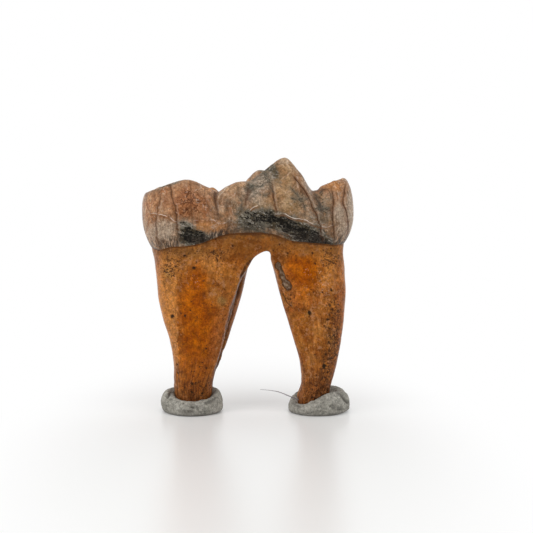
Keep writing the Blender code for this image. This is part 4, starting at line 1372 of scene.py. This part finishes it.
def enamel_edges(n, p):
    """Dirt and painted shade along the enamel edge, darker on the basin floor, painted shade in valleys and
    hollows, painted highlights on crests, and fine ridges made paler by wear and painted highlight.
    """
    above = n.field("above_neck")
    dashes = n.noise(n.stretched(p.growth, (0.24, 0.24, 1.0)), 1.0, 3.0, 0.6)
    # Along the enamel edge: dark dashes of dirt mixed with painted shade, and a thin line of painted shade at
    # the very edge.
    neck_grime_and_shade = n.plus(0.45, n.times(n.ramp(n.field("pale"), 0.02, 0.22), 0.55))
    neck_dirt_and_shade = n.times(n.ramp(above, 2.1, 0.6), n.ramp(dashes, 0.45, 0.52), neck_grime_and_shade, 0.92)
    neck_shade_line = n.times(n.ramp(above, 0.22, 0.04), n.ramp(dashes, 0.38, 0.52), neck_grime_and_shade, 0.80)
    n.paint((0.060, 0.034, 0.018), neck_shade_line)
    # Darker towards the basin floor between the cusps.
    basin = n.ramp(n.field("basin"), 0.08, 0.70)
    n.paint((0.210, 0.110, 0.055), basin, 0.45)
    # Painted shade in the valleys between cusps and lobes.
    valley = n.ramp(n.field("form"), -0.25, -1.8)
    n.paint((0.105, 0.055, 0.030), valley, 0.42)
    # Painted highlight on crests, away from the enamel edge.
    crest_highlight = n.ramp(n.field("form"), 0.6, 2.6)
    free = n.ramp(above, 0.5, 2.2)
    n.paint((0.560, 0.390, 0.265), crest_highlight, n.ramp(p.blotch, 0.38, 0.60), free, 0.36)
    # Painted shade in fine hollows.
    hollow_shade = n.ramp(n.field("ridge"), -0.10, -0.65)
    n.paint((0.080, 0.044, 0.026), hollow_shade, 0.60)
    # Paler on fine ridges: partly wear, partly painted highlight.
    ridge_wear_and_highlight = n.ramp(n.field("ridge"), 0.20, 0.75)
    n.paint((0.600, 0.460, 0.340), ridge_wear_and_highlight, free, 0.45)
    # Dark dashes above the enamel edge: dirt and painted shade.
    n.paint((0.050, 0.037, 0.029), neck_dirt_and_shade)


def enamel_cracks(n, p):
    """The placed cracks with their brown halo and pale lip, and the placed grey veins."""
    crack_wander = n.times(n.centred(n.noise(p.growth, 0.5, 4.0, 0.65)), 0.30)
    crack_side = n.plus(n.field("crack_side"), crack_wander)
    crack = n.math("ABSOLUTE", crack_side)
    crack_power = n.field("crack_power")
    p.thickness = n.noise(p.growth, 0.9, 3.0, 0.6)
    wider = n.plus(crack, n.times(p.thickness, -0.10))
    p.crack_core = n.times(n.ramp(wider, 0.10, -0.07), crack_power, n.ramp(p.grain, 0.26, 0.46))
    crack_halo = n.times(n.ramp(crack, 0.62, 0.05), crack_power, n.ramp(p.blotch, 0.38, 0.58), 0.75)
    n.paint((0.165, 0.066, 0.026), crack_halo)
    n.paint((0.060, 0.024, 0.011), n.math("MULTIPLY", p.crack_core, 0.90, clamp=True))
    lip = n.ramp(n.math("ABSOLUTE", n.math("ADD", crack_side, 0.30)), 0.13, 0.03)
    n.paint((0.600, 0.450, 0.330), lip, crack_power, n.ramp(p.streak, 0.35, 0.60), 0.45)
    vein_side = n.math("ABSOLUTE", n.plus(n.field("vein_side"), n.times(crack_wander, 2.4)))
    vein_power = n.field("vein_power")
    vein_halo = n.times(n.ramp(vein_side, 0.75, 0.05), vein_power, n.ramp(p.blotch, 0.42, 0.56), 0.70)
    n.paint((0.120, 0.114, 0.088), vein_halo)
    vein_core = n.times(n.ramp(vein_side, 0.17, 0.01), vein_power, n.ramp(p.grain, 0.40, 0.54), 0.85)
    n.paint((0.034, 0.030, 0.022), vein_core)


def enamel_flakes(n, p):
    """Painted highlights along flaked edges, with a line of painted shade below."""
    wander = n.times(n.centred(n.noise(p.growth, 0.6, 3.0, 0.6)), 0.12)
    flake = n.plus(n.field("flake_side"), wander)
    flake_power = n.field("flake_power")
    line = n.ramp(n.math("ABSOLUTE", flake), 0.070, 0.018)
    flake_highlight = n.times(line, flake_power, n.ramp(p.thickness, 0.40, 0.56))
    # Painted shade below the flaked step.
    n.paint((0.190, 0.075, 0.032), n.ramp(n.away(flake, 0.22), 0.20, 0.04), flake_power, 0.55)
    # Painted highlight along the flaked lip.
    n.paint((0.760, 0.640, 0.540), n.math("MULTIPLY", flake_highlight, 0.90, clamp=True))


def enamel_material():
    n = Nodes("fossil_enamel")
    p = enamel_patterns(n)
    layers = (
        enamel_ground, enamel_swirls, enamel_patches, enamel_veins,
        enamel_stain, enamel_edges, enamel_cracks, enamel_flakes,
    )
    for layer in layers:
        layer(n, p)
    black = n.times(p.haze, p.clumps, 0.12)
    rough = n.plus(0.17, n.times(p.grain, 0.18), black, n.times(p.crack_core, 0.30))
    height = n.plus(n.times(p.fine_streak, 0.5), n.times(p.grain, 0.5), n.times(p.blotch, 0.9))
    fine = n.bump(n.plus(height, n.times(p.haze, p.clumps, -0.3)), 0.09, 0.65)
    normal = n.bump(n.times(p.crack_core, -1.0), 0.05, 0.5, fine)
    n.finish(n.coat, rough, normal, 0.07, scatter=(0.08, (1.0, 0.55, 0.30), 0.4))
    return n.owner


def root_patterns(n):
    """Noises along the growth and in space that the roots' layers share."""
    p = Patterns()
    p.place = n.place()
    p.growth = n.field("growth", "Vector")
    p.loose = n.warped(p.place, 1.5, 0.6)
    p.cloud = n.noise(p.place, 2.6, 6.0, 0.68, 0.5)
    p.long_grain = n.noise(n.stretched(p.growth, (0.50, 0.50, 4.0)), 1.0, 4.0, 0.62)
    p.fine_grain = n.noise(n.stretched(p.growth, (0.20, 0.20, 1.1)), 1.0, 4.0, 0.65)
    p.mottle = n.noise(p.loose, 0.75, 6.0, 0.72)
    p.speckle = n.noise(p.place, 0.26, 4.0, 0.70)
    p.swells = n.noise(p.loose, 1.35, 3.0, 0.5)
    return p


def root_ground(n, p):
    """Orange-brown dentine with gold strips, amber cores and rosy and green patches."""
    n.coat = n.mix(n.ramp(p.cloud, 0.41, 0.59), (0.245, 0.068, 0.007), (0.400, 0.142, 0.022))
    n.paint((0.500, 0.210, 0.050), n.ramp(p.swells, 0.50, 0.66), 0.50)
    n.paint((0.190, 0.052, 0.005), n.ramp(p.swells, 0.48, 0.34), 0.45)
    n.paint((0.460, 0.185, 0.042), n.ramp(p.long_grain, 0.50, 0.66), 0.42)
    gold = n.edged("gold", p.long_grain, 0.20, 0.90)
    n.paint((0.570, 0.228, 0.052), gold, 0.70)
    p.core = n.edged("core", p.cloud, 0.15, 0.90)
    amber = n.mix(n.ramp(p.swells, 0.40, 0.60), (0.325, 0.070, 0.0004), (0.445, 0.112, 0.0010))
    n.paint(amber, p.core, 0.94)
    blush = n.edged("blush", p.mottle, 0.15, 0.90)
    n.paint((0.390, 0.118, 0.028), blush, 0.60)
    green = n.edged("green", p.mottle, 0.20, 0.85)
    n.paint((0.250, 0.170, 0.055), green, 0.55)


def root_grain(n, p):
    """Mottling, and long grain that grows stronger towards the tips."""
    p.low = n.ramp(n.height(p.place), 11.0, 1.5)
    n.paint((0.250, 0.084, 0.024), p.low, 0.50)
    calm = n.ramp(p.core, 0.70, 0.0)
    n.tone(p.mottle, 0.38, 0.62, 0.66, 1.32)
    n.tone(p.speckle, 0.37, 0.63, 0.66, 1.32)
    tip_grain = n.noise(n.stretched(p.growth, (0.26, 0.26, 2.6)), 1.0, 4.0, 0.62)
    dark_grain = n.times(n.ramp(p.fine_grain, 0.50, 0.40), n.plus(n.times(p.low, 0.55), 0.22))
    n.paint((0.115, 0.034, 0.009), dark_grain)
    n.paint((0.085, 0.026, 0.008), n.ramp(tip_grain, 0.51, 0.41), p.low, 0.95)
    n.paint((0.480, 0.200, 0.075), n.ramp(tip_grain, 0.54, 0.64), p.low, 0.45)
    rosy = n.times(n.ramp(n.noise(p.loose, 0.6, 5.0, 0.7), 0.52, 0.62), n.plus(n.times(calm, 0.56), 0.02))
    n.paint((0.520, 0.245, 0.110), rosy)


def root_dirt(n, p):
    """Shaded hollows, dirt, dark pepper and the shadow below the enamel edge."""
    shade = n.edged("shade", p.mottle, 0.10, 0.90)
    n.paint((0.120, 0.040, 0.008), shade, 0.55)
    dirt = n.plus(n.field("dirt"), n.times(n.centred(p.cloud), 0.9))
    p.dirt_share = n.ramp(dirt, 0.0, 1.0)
    n.paint((0.150, 0.060, 0.022), p.dirt_share, n.ramp(p.mottle, 0.60, 0.40), 0.32)
    p.pepper = n.plus(n.noise(n.warped(p.place, 0.4, 0.12), 0.38, 3.0, 0.62), n.times(p.dirt_share, 0.115))
    n.paint((0.054, 0.022, 0.008), n.ramp(p.pepper, 0.635, 0.70), 0.85)
    fine_pepper = n.plus(n.noise(p.place, 0.20, 2.0, 0.5), n.times(p.dirt_share, 0.125))
    n.paint((0.058, 0.022, 0.008), n.ramp(fine_pepper, 0.635, 0.70), 0.85)
    above = n.field("above_neck")
    # Painted shade on the root below the overhanging enamel edge.
    n.paint((0.200, 0.078, 0.016), n.ramp(above, -3.4, -0.2), 0.40)
    neck_shade = n.times(n.ramp(above, -1.4, -0.05), n.ramp(p.mottle, 0.58, 0.42), 0.70)
    n.paint((0.135, 0.058, 0.018), neck_shade)
    # A thin line of painted shade right under the enamel edge.
    neck_shade_line = n.times(n.ramp(above, -0.30, -0.10), n.ramp(p.fine_grain, 0.42, 0.56), 0.55)
    n.paint((0.045, 0.018, 0.006), neck_shade_line)


def root_edges(n, p):
    """Painted shade in valleys, hollows, the groove and the pores, painted highlights on crests, fine ridges
    made paler by wear and painted highlight, and painted glints.
    """
    # Painted shade in the valleys.
    valley = n.ramp(n.field("form"), -0.30, -1.5)
    n.paint((0.085, 0.034, 0.014), valley, 0.80)
    # Painted highlight on crests.
    crest_highlight = n.ramp(n.field("form"), 0.9, 2.8)
    n.paint((0.600, 0.330, 0.230), crest_highlight, 0.45)
    # Painted shade in fine hollows.
    hollow_shade = n.ramp(n.field("ridge"), -0.12, -0.60)
    n.paint((0.080, 0.026, 0.008), hollow_shade, 0.60)
    # Paler on fine ridges: partly wear, partly painted highlight.
    ridge_wear_and_highlight = n.ramp(n.field("ridge"), 0.20, 0.75)
    n.paint((0.600, 0.330, 0.180), ridge_wear_and_highlight, 0.35)
    # Painted shade in the groove between the root's lobes.
    groove_shade = n.times(n.field("groove_shade"), n.ramp(p.mottle, 0.36, 0.54))
    n.paint((0.060, 0.026, 0.013), groove_shade, 0.85)
    # Painted shade in the pores and the crack.
    pore_shade = n.math("MULTIPLY", n.field("pore_shade"), 0.92, clamp=True)
    pore_shade = n.plus(pore_shade, n.times(n.centred(p.speckle), 0.5))
    n.paint((0.034, 0.018, 0.008), n.ramp(pore_shade, 0.30, 0.85))
    # Painted glints.
    glint = n.times(n.field("glint"), n.ramp(n.noise(p.place, 0.20, 2.0, 0.5), 0.62, 0.67))
    n.paint((0.760, 0.540, 0.400), glint, 0.70)


def root_scar(n, p):
    """The filled scar and the painted shade in the groove round it."""
    scar = n.plus(n.field("scar"), n.times(n.centred(p.mottle), 1.10))
    scar_fill = n.ramp(scar, 0.03, -0.08)
    filling = n.ramp(n.noise(p.place, 0.6, 4.0, 0.65), 0.40, 0.64)
    scar_colour = n.mix(filling, (0.080, 0.046, 0.024), (0.330, 0.235, 0.160))
    n.paint(scar_colour, scar_fill, 0.92)
    # Painted shade in the groove round the scar.
    scar_rim_shade = n.ramp(n.away(scar, 0.02), 0.12, 0.02)
    n.paint((0.055, 0.028, 0.014), scar_rim_shade, n.ramp(p.speckle, 0.30, 0.50), 0.75)


def root_material():
    n = Nodes("fossil_root")
    p = root_patterns(n)
    for layer in (root_ground, root_grain, root_dirt, root_edges, root_scar):
        layer(n, p)
    rough = n.plus(0.16, n.times(p.mottle, 0.18), n.times(p.low, 0.12), n.times(p.dirt_share, 0.08))
    height = n.plus(n.times(p.fine_grain, 0.7), n.times(p.speckle, 0.7), n.times(p.mottle, 0.8))
    relief = n.plus(height, n.times(n.ramp(p.pepper, 0.63, 0.69), -0.5))
    n.finish(n.coat, rough, n.bump(relief, 0.09, 0.65), 0.06, scatter=(0.12, (1.0, 0.42, 0.14), 0.6))
    return n.owner


def putty_coil(table, inner_sign, reach, tops):
    """The smooth coil round a root tip, and how far out from the root each point is, from 0 to 1."""
    surface = Surface()
    angles = np.linspace(0.0, 2.0 * math.pi, PUTTY_STATIONS, endpoint=False)
    left, right, front, back = reach
    outside = np.column_stack([
        (left + right) / 2.0 + np.cos(angles) * (right - left) / 2.0,
        (front + back) / 2.0 + np.sin(angles) * (back - front) / 2.0,
    ])
    height = curve(*tops, np.degrees(angles), period=360.0, flat=True)
    profile = np.array(PUTTY_PROFILE)
    length = np.linalg.norm(np.diff(np.vstack([profile, profile[:1]]) * 3.0, axis=0), axis=1)
    keys = np.concatenate([[0.0], np.cumsum(length)[:-1]])
    steps = np.linspace(0.0, length.sum(), PUTTY_ROWS, endpoint=False)
    across, up = (np.clip(curve(keys, profile[:, c], steps, length.sum()), 0.0, 1.0) for c in (0, 1))
    rings = []
    for a, b in zip(across, up):
        z = height * b
        section = (angles, inner_sign, ROOT_SQUARENESS, PUTTY_GROOVE, 0.0)
        held = root_section(table, np.clip(z, PUTTY_FOOT, None), *section)[:, :2]
        middle = held.mean(axis=0)
        inside = middle + (held - middle) * PUTTY_HOLD
        points = np.column_stack([inside + (outside - inside) * a, z])
        rings.append(surface.add(points, points, 0.0))
    for lower, upper in zip(rings, rings[1:] + rings[:1]):
        surface.bridge(lower, upper)
    return surface, np.repeat(across, PUTTY_STATIONS)


def putty_surface(table, inner_sign, reach, tops, creases):
    """A coil of putty pressed round a root tip, its wall against the root, with lumps, creases and grain."""
    surface, across = putty_coil(table, inner_sign, reach, tops)
    points = np.array(surface.points) - np.array(CROWN_MIDDLE)
    corners = corner_table(surface.faces)
    pairs = edge_pairs(corners)
    normals = normals_of(points, corners)
    outward = points[:, :2] - points[:, :2].mean(axis=0)
    if np.einsum("ij,ij->i", normals[:, :2], outward).mean() < 0.0:
        surface.faces = [face[::-1] for face in surface.faces]
        corners = corner_table(surface.faces)
        normals = -normals
    seen = seen_at(points)
    front = smoothstep(0.35 - 1.5 * normals[:, 1])
    free = smoothstep(across / 0.18) * smoothstep(points[:, 2] / 0.25)
    lumps = relief("putty_lumps", points) + relief("putty_dents", points)
    grain = relief("putty_grain", points)
    cut = np.zeros(len(points))
    for depth, half_width, pixels in creases:
        distance, along = line_distance(seen, pixels)
        taper = tapered(along, 0.12, 0.12)
        cut += depth * taper * bell(distance, half_width) * front
    pits = random_pores(points, free, *PUTTY_PITS)
    height = free * (lumps + grain - cut - PORE_SHARE * pits) - PUTTY_SHRINK * free
    points = points + normals * height[:, None]
    points[:, 2] = np.clip(points[:, 2], 0.0, None)
    ridge = bend(points, normals_of(points, corners), pairs, 3) * RIDGE_GAIN
    # Painted shade in the creases and pits, darker the deeper they are cut.
    crease_shade = np.clip(cut * CREASE_SHADE + pits * PIT_SHADE, 0.0, 1.0)
    return surface, points, {"ridge": ridge, "crease_shade": crease_shade}


def strand(surface, points, path, radii):
    """Adds a thin hair through the given places; returns all points and the count of faces before it."""
    path = np.array(path)
    t = np.linspace(0.0, len(path) - 1.0, HAIR_STATIONS)
    line = np.column_stack([curve(np.arange(len(path)), path[:, c], t) for c in range(3)])
    ahead = np.gradient(line, axis=0)
    ahead /= np.linalg.norm(ahead, axis=1)[:, None]
    side = np.cross(ahead, [0.0, 1.0, 0.0])
    side /= np.linalg.norm(side, axis=1)[:, None]
    other = np.cross(ahead, side)
    turns = np.linspace(0.0, 2.0 * math.pi, HAIR_SIDES, endpoint=False)
    radius = np.linspace(*radii, HAIR_STATIONS)
    rings = [
        line[i] + radius[i] * (np.cos(turns)[:, None] * side[i] + np.sin(turns)[:, None] * other[i])
        for i in range(HAIR_STATIONS)
    ]
    hair_faces = len(surface.faces)
    starts = range(len(points), len(points) + HAIR_STATIONS * HAIR_SIDES, HAIR_SIDES)
    indices = [list(range(start, start + HAIR_SIDES)) for start in starts]
    for lower, upper in zip(indices[:-1], indices[1:]):
        surface.bridge(lower, upper)
    surface.faces.append(tuple(indices[0]))
    surface.faces.append(tuple(indices[-1][::-1]))
    return np.vstack([points] + rings), hair_faces


def place_seen(u, v, y):
    """The point at depth y, in mm, that is seen at pixel u, v of the photograph."""
    right, up = (u - PICTURE / 2) / FOCAL, (PICTURE / 2 - v) / FOCAL
    ray = np.array([right, math.cos(TILT) + up * math.sin(TILT), up * math.cos(TILT) - math.sin(TILT)])
    return np.array(CAMERA_PLACE) + ray * (y - CAMERA_PLACE[1]) / ray[1]


def putty_material():
    n = Nodes("grey_putty")
    place = n.place()
    cloud = n.noise(place, 2.0, 4.0, 0.6)
    grain = n.noise(place, 0.35, 5.0, 0.7)
    fine = n.noise(place, 0.12, 3.0, 0.6)
    n.coat = n.mix(n.ramp(cloud, 0.30, 0.70), (0.285, 0.272, 0.232), (0.385, 0.368, 0.322))
    n.tone(grain, 0.32, 0.68, 0.42, 1.42)
    n.tone(fine, 0.32, 0.68, 0.66, 1.26)
    # Painted shade along the putty's foot, darker towards the floor.
    n.paint((0.110, 0.105, 0.095), n.ramp(n.height(place), 0.55, 0.05), 0.65)
    # Painted shade in hollows of the putty.
    hollow_shade = n.ramp(n.field("ridge"), -0.10, -0.70)
    n.paint((0.120, 0.112, 0.095), hollow_shade, 0.55)
    # Painted highlight on the putty's ridges.
    n.paint((0.520, 0.500, 0.450), n.ramp(n.field("ridge"), 0.10, 0.80), 0.35)
    # Painted shade in the creases and pits.
    n.paint((0.075, 0.068, 0.056), n.field("crease_shade"), 0.75)
    speck = n.times(n.ramp(n.cells(place, 0.5), 0.14, 0.06), n.ramp(grain, 0.50, 0.60))
    n.paint((0.085, 0.080, 0.070), speck, 0.7)
    normal = n.bump(n.plus(n.times(grain, 0.8), n.times(fine, 0.5)), 0.11, 0.75)
    n.finish(n.coat, n.plus(0.62, n.times(grain, 0.25)), normal, 0.30)
    return n.owner


def hair_material():
    n = Nodes("grey_hair")
    tone = n.noise(n.place(), 0.9, 3.0, 0.6)
    colour = n.mix(tone, (0.15, 0.13, 0.14), (0.32, 0.29, 0.31))
    n.finish(colour, n.plus(0.40, n.times(tone, 0.15)), n.bump(tone, 0.01, 0.3))
    return n.owner


def floor_material():
    """White shiny paper near the tooth that turns into plain white light further off."""
    n = Nodes("pale_floor")
    paper = n.finish((0.815, 0.815, 0.805, 1.0), 0.30, specular=0.5)
    glow = n.new("ShaderNodeEmission", {"Color": WHITE}).outputs["Emission"]
    moved = n.stretched(n.vector("ADD", n.place(), PAPER_SHIFT), PAPER_SIZE)
    distance = n.new("ShaderNodeVectorMath", {0: moved}, operation="LENGTH").outputs["Value"]
    n.join(n.ramp(distance, *PAPER_FADE), paper, glow, "Material Output")
    return n.owner


def make_floor():
    reach, z = FLOOR_REACH, FLOOR_HEIGHT
    corners = [(-reach, -reach, z), (reach, -reach, z), (reach, reach, z), (-reach, reach, z)]
    floor = mesh_object("pale_floor_sheet", corners, [(0, 1, 2, 3)])
    floor.data.materials.append(floor_material())


def softbox(name, place, size, power):
    light = bpy.data.lights.new(name, "AREA")
    light.shape = "RECTANGLE"
    light.size, light.size_y = size
    light.energy = power
    made = bpy.data.objects.new(name, light)
    made.location = place
    made.rotation_euler = (Vector(LIGHT_AIM) - Vector(place)).to_track_quat("-Z", "Y").to_euler()
    bpy.context.scene.collection.objects.link(made)


def make_surroundings():
    """A white room: bright behind the object, dim by the camera, and plain white where it is seen."""
    n = Nodes("white_studio", bpy.data.worlds)
    direction = n.new("ShaderNodeTexCoord").outputs["Generated"]
    y = n.new("ShaderNodeSeparateXYZ", {0: direction}).outputs["Y"]
    room = n.tree.nodes["Background"]
    n.fill(room, {"Color": WHITE, "Strength": n.mapped(y, *ROOM_TURN, ROOM_AHEAD, ROOM_BEHIND)})
    plain = n.new("ShaderNodeBackground", {"Color": WHITE, "Strength": 1.0})
    is_seen = n.new("ShaderNodeLightPath").outputs["Is Camera Ray"]
    n.join(is_seen, room.outputs["Background"], plain.outputs["Background"], "World Output")
    bpy.context.scene.world = n.owner


def make_camera():
    view = bpy.data.cameras.new("photo_view")
    view.lens = LENS
    view.sensor_width = SENSOR
    view.clip_start = 0.01
    view.clip_end = 10.0
    made = bpy.data.objects.new("photo_view", view)
    made.location = [length * MM for length in CAMERA_PLACE]
    made.rotation_euler = (math.radians(90.0 - CAMERA_TILT), 0.0, 0.0)
    bpy.context.scene.collection.objects.link(made)
    bpy.context.scene.camera = made


molar = make_molar()
molar.data.materials.append(enamel_material())
molar.data.materials.append(root_material())
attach(molar, "root")
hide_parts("molar")

putty = putty_material()
surface, points, fields = putty_surface(DISTAL_ROOT, 1.0, LEFT_REACH, LEFT_TOPS, LEFT_CREASES)
left_ring = mesh_object("left_putty_surface", points, surface.faces, fields)
left_ring.data.materials.append(putty)
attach(left_ring, "root")
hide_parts("left_putty_ring")

surface, points, fields = putty_surface(MESIAL_ROOT, -1.0, RIGHT_REACH, RIGHT_TOPS, RIGHT_CREASES)
points, hair_start = strand(surface, points, [place_seen(*spot) for spot in HAIR], HAIR_RADII)
right_ring = mesh_object("right_putty_surface", points, surface.faces, fields)
right_ring.data.materials.append(putty)
right_ring.data.materials.append(hair_material())
split_materials(right_ring, hair_start)
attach(right_ring, "root")
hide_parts("right_putty_ring")

make_floor()
make_surroundings()
for name, (place, size, power) in SOFTBOXES.items():
    softbox(name, place, size, power)
make_camera()
bpy.context.scene.view_settings.view_transform = "Standard"
bpy.context.scene.view_settings.look = "None"
